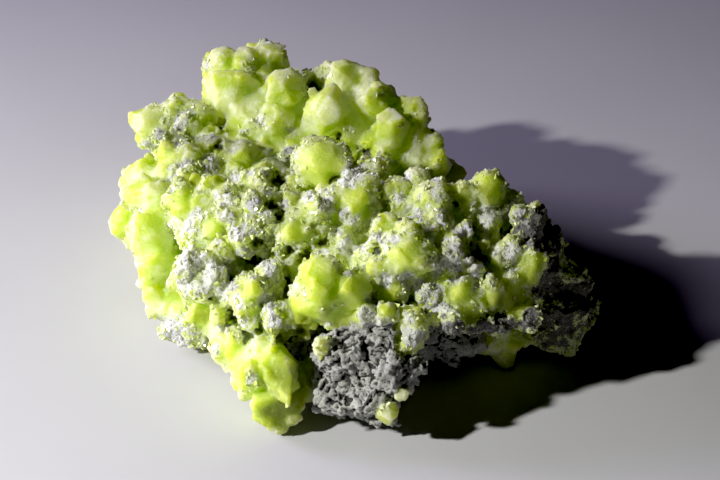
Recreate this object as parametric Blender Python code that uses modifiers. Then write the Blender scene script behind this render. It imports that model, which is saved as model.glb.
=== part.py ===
"""Sulfur specimen: yellow-green sulfur crystals grown together on a grey, granular matrix.

Metres, +Z up. The table top is z = 0 and the origin is on it, under the middle of the specimen.
-Y is the front, where the grey matrix shows between the sulfur foot and the overhanging ridge.
Lumps, pits and sizes are written in millimetres in the lists below, and MM turns them into metres.
"""

import math
import random

import bmesh
import bpy
from mathutils import Matrix, Vector

MM = 0.001

# Driving dimensions, in millimetres
SULFUR_VOXEL = 0.60
MATRIX_VOXEL = 0.60
CONTACT_GAP = 1.00
MATRIX_ROUGHNESS = 1.1
MATRIX_ROUGHNESS_SIZE = 3.2
FLOOR_CUT_SIZE = (200.0, 200.0, 20.0)

# Triangles kept in each solid
SULFUR_TRIANGLES = 7000
MATRIX_TRIANGLES = 2200

# Flats cut on each lump's block, how far from its middle they lie, and how unevenly they face
SULFUR_FLATS = 26
MATRIX_FLATS = 34
FLAT_DEPTH = (0.82, 1.0)
FLAT_LEAN = 0.3
LUMP_FORMS = 6

# Crystals that stand on a lump: smallest and largest radius in millimetres, and how far apart they grow
CRYSTAL_RADIUS = (1.5, 3.7)
CRYSTAL_SPACING = 1.25
GRAIN_RADIUS = (0.9, 2.2)
GRAIN_SPACING = 1.15

# Where a crystal's middle sits in its lump, how far it leans, and its least and greatest width and length
CRYSTAL_SINK = 0.84
CRYSTAL_SCATTER = 0.25
CRYSTAL_LEAN = 0.8
CRYSTAL_WIDTH = (0.8, 1.15)
CRYSTAL_LENGTH = (0.9, 1.35)
BURIED_SHARE = 0.8

# Orthorhombic sulfur: relative lengths of the crystal's a, b and c axes, its common faces and how far
# out each lies, and how much that distance varies
AXES_ABC = (0.813, 1.0, 1.904)
CRYSTAL_FACES = (
    ((1, 1, 1), 0.80),
    ((0, 0, 1), 0.98),
    ((1, 1, 3), 0.90),
    ((0, 1, 1), 0.86),
)
FACE_VARIATION = (0.86, 1.12)
CRYSTAL_FORMS = 8

# The middle of the specimen's outline in the lists below, which the origin is put under
MIDDLE = (0.1, 1.6, 0.0)

# Each lump of sulfur: centre, half sizes, and how thickly crystals cover it (0 leaves it smooth)
SULFUR_LUMPS = {
    "crown left": ((-22.5, 34.0, 27.0), (6.4, 6.4, 6.4), 0.8),
    "crown top": ((-17.0, 36.5, 29.5), (4.8, 5.8, 4.8), 0.8),
    "crown front": ((-12.5, 28.0, 28.0), (5.8, 5.5, 5.5), 0.4),
    "crown foot": ((-18.0, 25.5, 23.0), (9.0, 7.5, 7.5), 0.5),
    "crown back": ((-17.0, 35.0, 20.0), (8.5, 7.5, 10.5), 0.9),
    "rear knob": ((-1.5, 30.0, 29.5), (4.5, 4.6, 4.5), 0.5),
    "rear knob right": ((3.5, 25.0, 28.0), (5.4, 5.4, 5.4), 0.7),
    "rear knob back": ((-6.0, 31.0, 22.0), (9.0, 8.0, 9.0), 0.9),
    "rear shoulder": ((8.0, 22.5, 25.0), (4.8, 5.0, 5.0), 0.5),
    "rear slope": ((12.5, 17.5, 21.0), (4.8, 6.0, 5.0), 0.5),
    "rear slope end": ((17.5, 19.5, 15.5), (3.2, 5.0, 4.2), 0.6),
    "rear middle": ((-2.5, 22.5, 26.0), (7.0, 6.4, 6.4), 0.3),
    "rear middle right": ((6.0, 17.5, 22.0), (5.5, 6.4, 6.0), 0.4),
    "rear core": ((-8.0, 22.5, 16.0), (15.5, 13.0, 10.5), 0.6),
    "rear core right": ((9.0, 19.0, 12.0), (12.0, 10.5, 9.5), 0.8),
    "rear core left": ((-22.0, 17.0, 13.0), (13.5, 12.5, 11.5), 0.8),
    "shoulder tip": ((-36.0, 23.0, 24.0), (4.7, 5.0, 4.3), 0.8),
    "shoulder middle": ((-30.0, 24.0, 24.5), (5.0, 5.4, 5.0), 0.9),
    "shoulder low": ((-26.0, 19.0, 20.0), (7.5, 7.5, 7.5), 0.9),
    "left core": ((-30.0, 12.0, 14.5), (11.3, 11.3, 11.5), 0.6),
    "left upper": ((-38.0, 12.5, 18.5), (5.4, 5.4, 5.4), 0.4),
    "left tip": ((-41.5, 6.5, 14.5), (3.7, 4.0, 4.2), 0.1),
    "left middle": ((-34.5, 0.5, 16.0), (6.5, 6.5, 7.5), 0.3),
    "left low": ((-32.5, -4.0, 9.0), (5.5, 6.5, 6.5), 0.4),
    "left foot": ((-28.5, -10.5, 5.5), (5.5, 6.5, 5.5), 0.5),
    "left back": ((-30.0, 24.0, 12.0), (9.5, 9.5, 10.5), 0.9),
    "round lump": ((-5.5, 2.5, 30.5), (5.0, 4.7, 5.0), 0.2),
    "pale lump": ((1.0, -3.0, 30.5), (2.7, 2.5, 2.7), 0.0),
    "ridge left": ((-25.0, -4.0, 22.0), (7.4, 7.4, 7.4), 0.8),
    "ridge left middle": ((-16.0, -9.0, 25.0), (6.4, 6.4, 6.0), 1.0),
    "ridge middle": ((-1.0, -8.0, 28.0), (6.4, 5.4, 4.6), 0.7),
    "ridge saddle": ((-9.0, -10.5, 25.0), (6.4, 6.4, 5.4), 1.0),
    "ridge right": ((14.0, -8.0, 28.0), (6.4, 5.4, 4.8), 1.0),
    "ridge right end": ((23.5, -6.0, 27.0), (5.0, 5.4, 4.6), 0.3),
    "ridge corner": ((29.0, -11.0, 23.0), (4.0, 5.4, 5.4), 0.9),
    "ridge face": ((8.0, -19.0, 25.0), (7.4, 7.2, 6.4), 0.9),
    "ridge face right": ((17.5, -18.0, 24.0), (6.4, 6.4, 6.4), 1.0),
    "ridge nose": ((26.5, -20.0, 20.0), (5.4, 5.4, 4.5), 0.6),
    "ridge nose right": ((30.0, -16.0, 20.0), (3.6, 5.4, 5.4), 0.3),
    "ridge brow": ((16.5, -24.5, 19.5), (6.4, 5.4, 3.6), 0.7),
    "lip": ((23.5, -24.0, 16.8), (7.6, 4.6, 1.8), 0.2),
    "front crystal": ((-4.5, -25.5, 22.5), (6.2, 5.6, 5.8), 0.1),
    "front low": ((-10.5, -25.5, 16.0), (4.2, 4.6, 4.6), 0.3),
    "front crust": ((-25.5, -15.0, 18.0), (6.0, 5.6, 5.2), 0.8),
    "front crust low": ((-18.5, -21.0, 17.0), (4.6, 4.6, 4.6), 0.9),
    "green low": ((-24.0, -17.0, 11.0), (4.2, 4.6, 3.7), 0.2),
    "hanging lump": ((9.5, -29.0, 18.0), (3.5, 3.1, 3.5), 0.8),
    "ridge core": ((-2.0, -8.5, 19.0), (15.0, 12.0, 9.5), 0.5),
    "ridge core right": ((15.5, -8.5, 20.0), (15.0, 11.0, 7.5), 0.5),
    "ridge core left": ((-16.5, -4.5, 14.0), (12.5, 12.0, 11.5), 0.5),
    "valley": ((10.0, 5.0, 13.0), (16.0, 12.0, 9.0), 0.6),
    "valley left": ((-16.0, 8.0, 17.0), (12.0, 9.0, 8.0), 0.9),
    "foot upper": ((-19.5, -21.0, 9.0), (5.6, 6.0, 6.6), 0.4),
    "foot middle": ((-15.5, -29.0, 9.0), (5.2, 5.6, 6.2), 0.1),
    "foot side": ((-10.5, -28.5, 5.8), (3.4, 4.6, 4.4), 0.1),
    "foot toe": ((-13.0, -32.5, 3.6), (4.4, 4.2, 4.4), 0.1),
    "base right": ((36.0, -12.0, 7.5), (6.2, 7.5, 7.0), 0.7),
    "base tip": ((41.0, -8.5, 5.5), (3.0, 4.0, 4.2), 0.5),
    "base middle": ((24.5, -13.0, 6.5), (8.5, 7.5, 6.0), 0.6),
    "dark corner": ((34.0, -8.5, 14.5), (4.2, 6.5, 7.5), 0.9),
    "dark corner top": ((32.0, -4.5, 19.5), (3.8, 4.8, 4.8), 0.8),
    "back right": ((27.0, 6.0, 9.5), (9.0, 9.0, 8.5), 0.9),
    "back left foot": ((-26.0, 26.0, 6.0), (8.0, 8.0, 6.5), 0.9),
    "back foot": ((-8.0, 32.0, 7.5), (12.0, 10.0, 8.0), 0.9),
}

# Hollows between the sulfur lumps: centre and half sizes
SULFUR_PITS = {
    "left hollow": ((-20.5, -16.0, 21.5), (2.6, 4.6, 3.0)),
    "middle hollow": ((-10.5, -21.0, 23.0), (2.2, 4.6, 2.0)),
    "rear hollow": ((-7.0, 31.0, 31.5), (2.8, 5.0, 4.4)),
    "shoulder hollow": ((-24.5, 26.5, 26.0), (1.9, 4.6, 3.6)),
    "ridge hollow": ((21.5, -14.5, 27.0), (1.8, 3.8, 2.8)),
    "corner hollow": ((26.5, -12.0, 27.0), (2.0, 3.6, 2.2)),
    "valley hollow": ((9.0, 6.0, 24.5), (7.5, 3.8, 4.5)),
    "foot hollow": ((-8.6, -30.5, 11.5), (2.2, 4.6, 4.0)),
}

# Each lump of the grey matrix: centre, half sizes, and how thickly grains cover it
MATRIX_LUMPS = {
    "clump": ((-0.5, -30.5, 12.0), (6.6, 6.6, 7.0), 1.0),
    "clump foot": ((-3.0, -34.0, 7.5), (4.7, 4.6, 4.3), 1.0),
    "clump foot right": ((4.0, -35.5, 8.0), (4.7, 4.6, 4.2), 1.0),
    "clump right": ((7.0, -33.0, 12.0), (5.2, 6.2, 6.5), 1.0),
    "clump top": ((4.5, -28.5, 17.0), (6.4, 5.6, 5.2), 1.0),
    "under ridge": ((15.0, -14.0, 8.0), (13.5, 9.6, 7.2), 1.0),
    "under front": ((-3.0, -16.0, 8.5), (13.0, 11.0, 7.6), 1.0),
    "under left": ((-18.0, 0.0, 5.5), (13.0, 13.0, 6.0), 1.0),
    "under middle": ((2.0, 6.0, 6.0), (20.0, 18.0, 6.4), 1.0),
    "under right": ((29.5, -6.0, 7.0), (10.0, 11.0, 7.2), 1.0),
    "under back": ((8.0, 24.0, 6.0), (17.0, 12.0, 6.4), 1.0),
}

SULFUR_COLOUR = (0.50, 0.60, 0.06, 1.0)
MATRIX_COLOUR = (0.46, 0.46, 0.47, 1.0)


def clear_scene():
    for obj in list(bpy.data.objects):
        bpy.data.objects.remove(obj)


def collection_named(name):
    found = bpy.data.collections.new(name)
    bpy.context.scene.collection.children.link(found)
    return found


def material(name, colour, roughness):
    made = bpy.data.materials.new(name)
    made.use_nodes = True
    shader = made.node_tree.nodes["Principled BSDF"]
    shader.inputs["Base Color"].default_value = colour
    shader.inputs["Roughness"].default_value = roughness
    shader.inputs["Metallic"].default_value = 0.0
    return made


def cut_flat(bm, normal, distance):
    """Cut a convex block with one plane, and close the cut."""
    bmesh.ops.bisect_plane(
        bm,
        geom=bm.verts[:] + bm.edges[:] + bm.faces[:],
        plane_co=normal * distance,
        plane_no=normal,
        clear_outer=True,
    )
    bmesh.ops.holes_fill(bm, edges=[edge for edge in bm.edges if edge.is_boundary], sides=0)


def mesh_from(bm, name):
    mesh = bpy.data.meshes.new(name)
    bm.to_mesh(mesh)
    bm.free()
    return mesh


def sphere_directions(count):
    """Directions spread evenly over a sphere."""
    golden = math.pi * (3 - math.sqrt(5))
    for i in range(count):
        height = 1 - 2 * (i + 0.5) / count
        ring = math.sqrt(1 - height * height)
        yield Vector((ring * math.cos(golden * i), ring * math.sin(golden * i), height))


def jitter(rng, reach):
    return Vector([rng.uniform(-reach, reach) for _ in range(3)])


def crystal_form(rng, name):
    """One blocky crystal of about unit radius: a steep double pyramid with its tips and edges cut off."""
    bm = bmesh.new()
    bmesh.ops.create_cube(bm, size=4)
    for indices, distance in CRYSTAL_FACES:
        reach = [(-1, 1) if index else (1,) for index in indices]
        for sx in reach[0]:
            for sy in reach[1]:
                for sz in reach[2]:
                    signs = (sx, sy, sz)
                    normal = Vector([s * h / length for s, h, length in zip(signs, indices, AXES_ABC)])
                    cut_flat(bm, normal.normalized(), distance * rng.uniform(*FACE_VARIATION))
    return mesh_from(bm, name)


def worn_form(rng, name, flats):
    """A chunky block of about unit radius, cut by flats that face every way."""
    bm = bmesh.new()
    bmesh.ops.create_cube(bm, size=4)
    for direction in sphere_directions(flats):
        cut_flat(bm, (direction + jitter(rng, FLAT_LEAN)).normalized(), rng.uniform(*FLAT_DEPTH))
    return mesh_from(bm, name)


def facing(normal, rng):
    """A turn that points +Z near the normal and spins at random."""
    upright = (normal + jitter(rng, CRYSTAL_LEAN)).to_track_quat("Z", "Y").to_matrix().to_4x4()
    return upright @ Matrix.Rotation(rng.uniform(0, math.tau), 4, "Z")


def buried(point, lumps, own):
    """Whether a point lies well inside another lump."""
    for name, (centre, half, *_) in lumps.items():
        if name == own:
            continue
        offset = [(p - c) / h for p, c, h in zip(point, centre, half)]
        if sum(part * part for part in offset) < BURIED_SHARE ** 2:
            return True
    return False


def block_matrix(centre, turn, sizes):
    """Place a block given in the lists' millimetres."""
    place = Matrix.Translation((Vector(centre) - Vector(MIDDLE)) * MM)
    return place @ turn @ Matrix.Diagonal((*[s * MM for s in sizes], 1))


def add_copy(bm, mesh, matrix):
    before = len(bm.verts)
    bm.from_mesh(mesh)
    bm.verts.ensure_lookup_table()
    bmesh.ops.transform(bm, matrix=matrix, verts=bm.verts[before:])


def add_cover(bm, forms, lumps, name, radii, spacing, thickness, rng):
    """Stand crystals on the part of a lump that its neighbours leave open."""
    centre, half = lumps[name][:2]
    mean_radius = sum(half) / 3
    mean_crystal = sum(radii) / 2
    count = int(thickness * 4 * (mean_radius / (mean_crystal * spacing)) ** 2)
    for direction in sphere_directions(count):
        direction = (direction + jitter(rng, CRYSTAL_SCATTER)).normalized()
        size = radii[0] + (radii[1] - radii[0]) * rng.random() ** 2
        point = [c + h * d * CRYSTAL_SINK for c, h, d in zip(centre, half, direction)]
        if point[2] < 0 or buried(point, lumps, name):
            continue
        outward = Vector([d / h for d, h in zip(direction, half)]).normalized()
        sizes = [size * rng.uniform(*reach) for reach in (CRYSTAL_WIDTH, CRYSTAL_WIDTH, CRYSTAL_LENGTH)]
        add_copy(bm, rng.choice(forms), block_matrix(point, facing(outward, rng), sizes))


def heap(name, lumps, seed, radii, spacing, flats):
    """All the blocks of one mineral, still overlapping, in one mesh."""
    rng = random.Random(seed)
    crystals = [crystal_form(rng, "crystal form") for _ in range(CRYSTAL_FORMS)]
    hearts = [worn_form(rng, "worn form", flats) for _ in range(LUMP_FORMS)]
    bm = bmesh.new()
    for lump_name, (centre, half, thickness) in lumps.items():
        add_copy(bm, rng.choice(hearts), block_matrix(centre, Matrix.Identity(4), half))
        add_cover(bm, crystals, lumps, lump_name, radii, spacing, thickness, rng)
    return mesh_from(bm, name)


def working_object(name, mesh):
    obj = bpy.data.objects.new(name, mesh)
    bpy.context.scene.collection.objects.link(obj)
    return obj


def helper(name, mesh, collection):
    """An object that shapes others and isn't part of the specimen."""
    obj = bpy.data.objects.new(name, mesh)
    obj.hide_render = True
    obj.display_type = "WIRE"
    collection.objects.link(obj)
    return obj


def baked(obj, name):
    """The object's mesh with its modifiers applied."""
    graph = bpy.context.evaluated_depsgraph_get()
    graph.update()
    mesh = bpy.data.meshes.new_from_object(obj.evaluated_get(graph))
    mesh.name = name
    obj.modifiers.clear()
    return mesh


def keep_largest_body(mesh):
    """Drop the loose crumbs and inner voids that fusing leaves, and keep the one outer skin."""
    bm = bmesh.new()
    bm.from_mesh(mesh)
    unseen = set(bm.verts)
    bodies = []
    while unseen:
        front = [unseen.pop()]
        body = list(front)
        while front:
            vertex = front.pop()
            near = [edge.other_vert(vertex) for edge in vertex.link_edges]
            fresh = [other for other in near if other in unseen]
            unseen.difference_update(fresh)
            front.extend(fresh)
            body.extend(fresh)
        bodies.append(body)
    bodies.sort(key=len)
    bmesh.ops.delete(bm, geom=[vertex for body in bodies[:-1] for vertex in body], context="VERTS")
    bmesh.ops.recalc_face_normals(bm, faces=bm.faces[:])
    bm.to_mesh(mesh)
    bm.free()


def add_fuse(obj, voxel):
    fuse = obj.modifiers.new("fuse", "REMESH")
    fuse.mode = "VOXEL"
    fuse.voxel_size = voxel * MM


def add_roughness(obj):
    texture = bpy.data.textures.new("roughness", "CLOUDS")
    texture.noise_scale = MATRIX_ROUGHNESS_SIZE * MM
    texture.noise_depth = 2
    rough = obj.modifiers.new("roughness", "DISPLACE")
    rough.texture = texture
    rough.texture_coords = "LOCAL"
    rough.mid_level = 0.5
    rough.strength = MATRIX_ROUGHNESS * MM


def add_thinning(obj, triangles):
    """Fewer, larger flat faces, as the crystals have."""
    thin = obj.modifiers.new("flat faces", "DECIMATE")
    thin.ratio = triangles / (2 * len(obj.data.polygons))


def add_cut(obj, cutter):
    cut = obj.modifiers.new("cut by " + cutter.name, "BOOLEAN")
    cut.operation = "DIFFERENCE"
    cut.object = cutter


def settle(obj):
    """Apply the modifiers and keep the one outer skin."""
    obj.data = baked(obj, obj.name)
    keep_largest_body(obj.data)


def pit_cutter(collection):
    form = worn_form(random.Random(5), "pit form", SULFUR_FLATS)
    bm = bmesh.new()
    for centre, half in SULFUR_PITS.values():
        add_copy(bm, form, block_matrix(centre, Matrix.Identity(4), half))
    return helper("pit cutter", mesh_from(bm, "pit cutter"), collection)


def floor_cutter(collection):
    """A block that leaves every foot flat at z = 0."""
    bm = bmesh.new()
    bmesh.ops.create_cube(bm, size=1)
    below = Matrix.Translation((0, 0, -FLOOR_CUT_SIZE[2] * MM / 2))
    size = Matrix.Diagonal((*[side * MM for side in FLOOR_CUT_SIZE], 1))
    bmesh.ops.transform(bm, matrix=below @ size, verts=bm.verts[:])
    return helper("floor cutter", mesh_from(bm, "floor cutter"), collection)


def contact_cutter(sulfur, collection):
    """The sulfur, grown by the contact gap, which makes room for it in the matrix."""
    cutter = helper("contact cutter", sulfur.data.copy(), collection)
    grow = cutter.modifiers.new("grow", "DISPLACE")
    grow.mid_level = 0
    grow.strength = CONTACT_GAP * MM
    add_fuse(cutter, MATRIX_VOXEL)
    settle(cutter)
    return cutter


def thin_and_stand(obj, triangles, floor):
    """Leave large flat faces, and cut the feet flat on the table."""
    add_thinning(obj, triangles)
    obj.data = baked(obj, obj.name)
    add_cut(obj, floor)
    settle(obj)


def build_sulfur(floor, cutters):
    form = heap("sulfur_crystals", SULFUR_LUMPS, 11, CRYSTAL_RADIUS, CRYSTAL_SPACING, SULFUR_FLATS)
    sulfur = working_object("sulfur_crystals", form)
    add_fuse(sulfur, SULFUR_VOXEL)
    settle(sulfur)
    add_cut(sulfur, pit_cutter(cutters))
    settle(sulfur)
    thin_and_stand(sulfur, SULFUR_TRIANGLES, floor)
    return sulfur


def build_matrix(sulfur, floor, cutters):
    form = heap("grey_matrix", MATRIX_LUMPS, 23, GRAIN_RADIUS, GRAIN_SPACING, MATRIX_FLATS)
    matrix = working_object("grey_matrix", form)
    add_fuse(matrix, MATRIX_VOXEL)
    settle(matrix)
    add_cut(matrix, contact_cutter(sulfur, cutters))
    settle(matrix)
    add_fuse(matrix, MATRIX_VOXEL)
    add_roughness(matrix)
    settle(matrix)
    thin_and_stand(matrix, MATRIX_TRIANGLES, floor)
    return matrix


def dress(obj, look):
    obj.data.materials.clear()
    obj.data.materials.append(look)


def build():
    clear_scene()
    specimen = collection_named("sulfur_specimen")
    cutters = collection_named("cutters")
    floor = floor_cutter(cutters)
    sulfur = build_sulfur(floor, cutters)
    matrix = build_matrix(sulfur, floor, cutters)
    dress(sulfur, material("sulfur", SULFUR_COLOUR, 0.45))
    dress(matrix, material("grey matrix", MATRIX_COLOUR, 0.95))
    for obj in (sulfur, matrix):
        specimen.objects.link(obj)
        bpy.context.scene.collection.objects.unlink(obj)


build()
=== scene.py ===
"""Looks of the sulfur specimen: its fine crystals, crust of grains, grey rock, floor, lamp and camera.

Lengths are in metres unless a name or a heading says millimetres. The table top is z = 0.
"""

import math
import random

import bmesh
import bpy
import numpy as np
from mathutils import Matrix, Vector, noise


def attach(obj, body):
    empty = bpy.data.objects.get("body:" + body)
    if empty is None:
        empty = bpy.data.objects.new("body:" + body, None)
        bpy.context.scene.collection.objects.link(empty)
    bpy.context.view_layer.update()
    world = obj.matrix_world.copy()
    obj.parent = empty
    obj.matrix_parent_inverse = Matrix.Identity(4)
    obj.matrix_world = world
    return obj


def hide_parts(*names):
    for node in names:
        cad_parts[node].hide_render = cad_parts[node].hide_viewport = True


bl_info = {
    "name": "Sulfur specimen",
    "version": (1, 0, 0),
    "blender": (4, 5, 0),
    "location": "View3D > Sidebar > Specimen",
    "description": "Builds the visible surfaces of a sulfur specimen on its packed solids",
    "category": "Object",
}

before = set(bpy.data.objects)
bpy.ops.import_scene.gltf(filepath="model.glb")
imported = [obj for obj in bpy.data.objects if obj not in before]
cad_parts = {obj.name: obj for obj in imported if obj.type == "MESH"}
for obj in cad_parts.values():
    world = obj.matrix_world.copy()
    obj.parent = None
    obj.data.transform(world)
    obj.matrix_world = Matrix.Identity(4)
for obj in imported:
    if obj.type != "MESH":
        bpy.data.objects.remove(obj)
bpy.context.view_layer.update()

MM = 0.001

# Larger crystals and lumps: middle and half sizes in millimetres, and how many flats each has
GROWN_BLOCKS = {
    "clear crystal top": ((-5.1, -27.4, 27.4), (3.7, 3.0, 2.3), 13),
    "clear crystal face": ((-0.0, -28.9, 24.5), (2.8, 2.8, 2.8), 11),
    "clear crystal heart": ((-5.7, -30.2, 25.4), (2.3, 2.3, 2.2), 11),
    "clear crystal foot": ((-2.1, -29.3, 18.9), (3.0, 2.8, 2.5), 11),
    "clear crystal dome": ((-8.4, -28.2, 18.2), (2.5, 2.8, 3.1), 24),
    "foot upper slab": ((-19.4, -27.3, 10.3), (3.0, 3.0, 2.8), 11),
    "foot left slab": ((-17.0, -34.0, 10.0), (2.0, 3.0, 4.1), 11),
    "foot face": ((-12.9, -33.4, 11.3), (3.4, 3.6, 4.2), 11),
    "foot toe": ((-14.0, -35.8, 5.0), (3.0, 3.3, 3.6), 12),
    "foot toe right": ((-10.4, -34.4, 5.4), (2.2, 2.6, 2.9), 11),
    "foot dark crystal": ((-7.7, -30.9, 6.5), (1.7, 2.5, 3.3), 11),
    "green crystal": ((-26.5, -20.0, 12.5), (3.0, 2.6, 2.3), 11),
    "little clear crystal": ((-16.8, -26.3, 22.6), (1.5, 1.6, 1.7), 11),
    "round lump": ((-5.1, -1.5, 32.1), (4.8, 4.6, 4.4), 29),
    "pale lump": ((0.1, -5.9, 31.6), (2.1, 2.0, 1.9), 24),
    "lump beside pale lump": ((3.4, -2.7, 31.6), (2.5, 2.3, 2.1), 18),
    "ridge lump": ((0.4, -11.4, 31.0), (2.9, 2.5, 2.1), 18),
    "ridge end left": ((14.1, -11.2, 31.1), (3.1, 3.2, 3.3), 18),
    "ridge end middle": ((18.9, -9.9, 30.0), (2.3, 2.8, 3.3), 14),
    "ridge end right": ((23.6, -8.4, 30.4), (3.5, 3.4, 3.3), 14),
    "crest lump": ((7.6, -8.1, 30.6), (2.8, 2.6, 2.4), 18),
    "dark smooth lump": ((30.6, -20.5, 23.6), (2.6, 3.4, 4.4), 24),
    "lip slab": ((27.8, -23.4, 18.8), (3.4, 2.8, 2.4), 14),
    "corner white lump": ((26.3, -19.8, 25.6), (2.7, 2.7, 2.6), 16),
    "lip slab low": ((19.7, -28.4, 18.0), (4.4, 3.1, 1.8), 14),
    "bright finger": ((23.6, -26.2, 21.4), (1.5, 2.0, 4.0), 14),
    "lip clear lump": ((18.5, -25.9, 22.1), (2.7, 2.8, 2.9), 12),
    "face lump": ((9.7, -24.5, 28.4), (4.7, 3.9, 3.2), 30),
    "face lump left": ((5.6, -18.6, 30.0), (2.6, 2.5, 2.4), 18),
    "face lump upper": ((12.2, -18.2, 29.5), (2.7, 2.4, 2.0), 18),
    "lip pale lump": ((6.4, -26.0, 21.7), (3.2, 2.9, 2.5), 18),
    "lip crust lump": ((13.3, -27.2, 21.7), (2.5, 2.3, 2.0), 18),
    "face crust lump": ((16.9, -23.0, 27.5), (2.7, 2.6, 2.5), 18),
    "grey crust lump": ((20.9, -22.9, 24.9), (1.5, 1.8, 2.0), 18),
    "white crust lump": ((27.0, -16.2, 22.5), (2.6, 2.6, 2.6), 18),
    "corner lump": ((23.7, -12.8, 26.2), (2.3, 2.3, 2.3), 18),
    "corner lump outer": ((28.9, -12.4, 28.1), (1.7, 1.9, 2.1), 18),
    "corner lump low": ((30.9, -15.0, 26.4), (1.9, 1.8, 1.7), 18),
    "hanging lump left": ((6.0, -32.1, 21.9), (2.0, 1.8, 1.7), 14),
    "hanging lump": ((10.2, -31.9, 19.2), (2.5, 3.1, 3.7), 18),
    "lump over rock": ((2.6, -31.5, 20.8), (2.2, 2.3, 2.5), 18),
    "white lump left": ((-28.1, -18.6, 21.0), (2.9, 3.5, 4.2), 24),
    "white lump right": ((-23.9, -20.1, 19.8), (2.6, 3.1, 3.6), 24),
    "low crust upper": ((-14.2, -20.5, 20.8), (2.4, 2.8, 3.3), 18),
    "low crust left": ((-17.5, -26.9, 17.4), (1.9, 2.4, 2.9), 18),
    "low crust right": ((-13.2, -28.1, 18.2), (2.5, 2.7, 2.9), 18),
    "ridge left lump": ((-24.6, -11.3, 24.7), (2.3, 2.2, 2.1), 18),
    "ridge frosted lump": ((-22.8, -16.0, 23.4), (2.4, 2.3, 2.1), 18),
    "olive dome": ((-19.0, -15.5, 25.0), (2.9, 2.9, 2.8), 22),
    "ridge left crest": ((-21.9, -8.0, 27.8), (2.6, 2.4, 2.1), 18),
    "ridge crest": ((-17.1, -11.7, 29.9), (2.3, 2.3, 2.4), 18),
    "ridge olive lump": ((-10.7, -10.5, 29.3), (1.6, 2.1, 2.6), 12),
    "ridge clear lump": ((-10.4, -16.5, 27.2), (2.2, 2.1, 2.1), 14),
    "ridge clear lump right": ((-6.3, -15.6, 26.7), (2.1, 2.1, 2.1), 14),
    "ridge frosted crest": ((-5.9, -13.6, 30.0), (2.6, 2.4, 2.2), 18),
    "ridge pale block": ((-1.5, -16.7, 25.5), (2.4, 2.7, 2.9), 18),
    "valley ball left": ((-28.0, -0.4, 27.3), (1.6, 1.5, 1.4), 18),
    "valley ball": ((-24.3, -3.5, 29.1), (1.8, 1.6, 1.4), 18),
    "valley lump": ((-20.4, 13.3, 24.2), (2.8, 2.6, 2.4), 18),
    "valley lump right": ((-16.4, 15.3, 23.1), (2.4, 2.4, 2.4), 18),
    "grey valley lump": ((-11.5, 13.6, 23.4), (1.9, 1.9, 2.0), 18),
    "left tip": ((-42.8, 3.5, 15.7), (2.1, 2.5, 2.8), 22),
    "slab upper": ((-36.8, 2.5, 21.8), (4.4, 4.0, 3.6), 14),
    "slab upper right": ((-30.0, -5.2, 26.5), (3.2, 3.1, 3.0), 14),
    "slab middle": ((-36.0, -4.9, 19.3), (3.8, 3.7, 3.6), 12),
    "slab low": ((-35.4, -7.7, 13.3), (2.9, 3.6, 4.3), 12),
    "slab foot": ((-33.2, -11.8, 8.0), (3.1, 3.1, 3.2), 12),
    "shoulder lump": ((-38.1, 20.9, 26.1), (4.0, 3.6, 3.2), 22),
    "shoulder lump right": ((-31.1, 18.4, 24.8), (3.6, 3.6, 3.6), 22),
    "shoulder yellow lump": ((-34.5, 12.4, 24.4), (1.7, 2.1, 2.6), 14),
    "shoulder knob": ((-32.6, 22.6, 29.0), (1.9, 1.6, 1.3), 14),
    "crown left block": ((-21.8, 26.4, 28.6), (4.5, 4.9, 5.3), 13),
    "crown left lump": ((-24.6, 32.6, 32.2), (2.7, 3.1, 3.4), 18),
    "crown top left": ((-20.2, 32.7, 33.4), (2.5, 2.5, 2.5), 18),
    "crown top": ((-16.1, 34.7, 33.2), (2.5, 2.5, 2.5), 18),
    "crown pale block": ((-13.1, 24.4, 31.6), (3.6, 3.6, 3.6), 13),
    "rear front lump": ((-14.4, 19.6, 27.4), (3.7, 3.4, 3.0), 18),
    "rear smooth block": ((-4.6, 18.2, 29.9), (4.4, 3.9, 3.3), 12),
    "rear knob": ((-1.3, 27.3, 32.7), (3.0, 2.9, 2.8), 18),
    "rear slope": ((3.5, 19.8, 30.6), (2.8, 2.8, 2.8), 18),
    "rear pale ridge": ((7.2, 16.0, 26.4), (2.6, 3.8, 5.0), 14),
    "rear right lump": ((11.4, 17.9, 25.8), (2.2, 3.4, 4.5), 18),
    "rear right low": ((14.8, 12.8, 22.3), (3.3, 3.0, 2.6), 18),
    "clump crystal": ((6.0, -40.3, 7.6), (1.7, 1.9, 2.0), 12),
    "clump crystal upper": ((-5.1, -34.5, 17.0), (1.5, 1.6, 1.7), 11),
    "clump crystal right": ((8.2, -39.4, 10.8), (1.3, 1.3, 1.3), 11),
}

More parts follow.
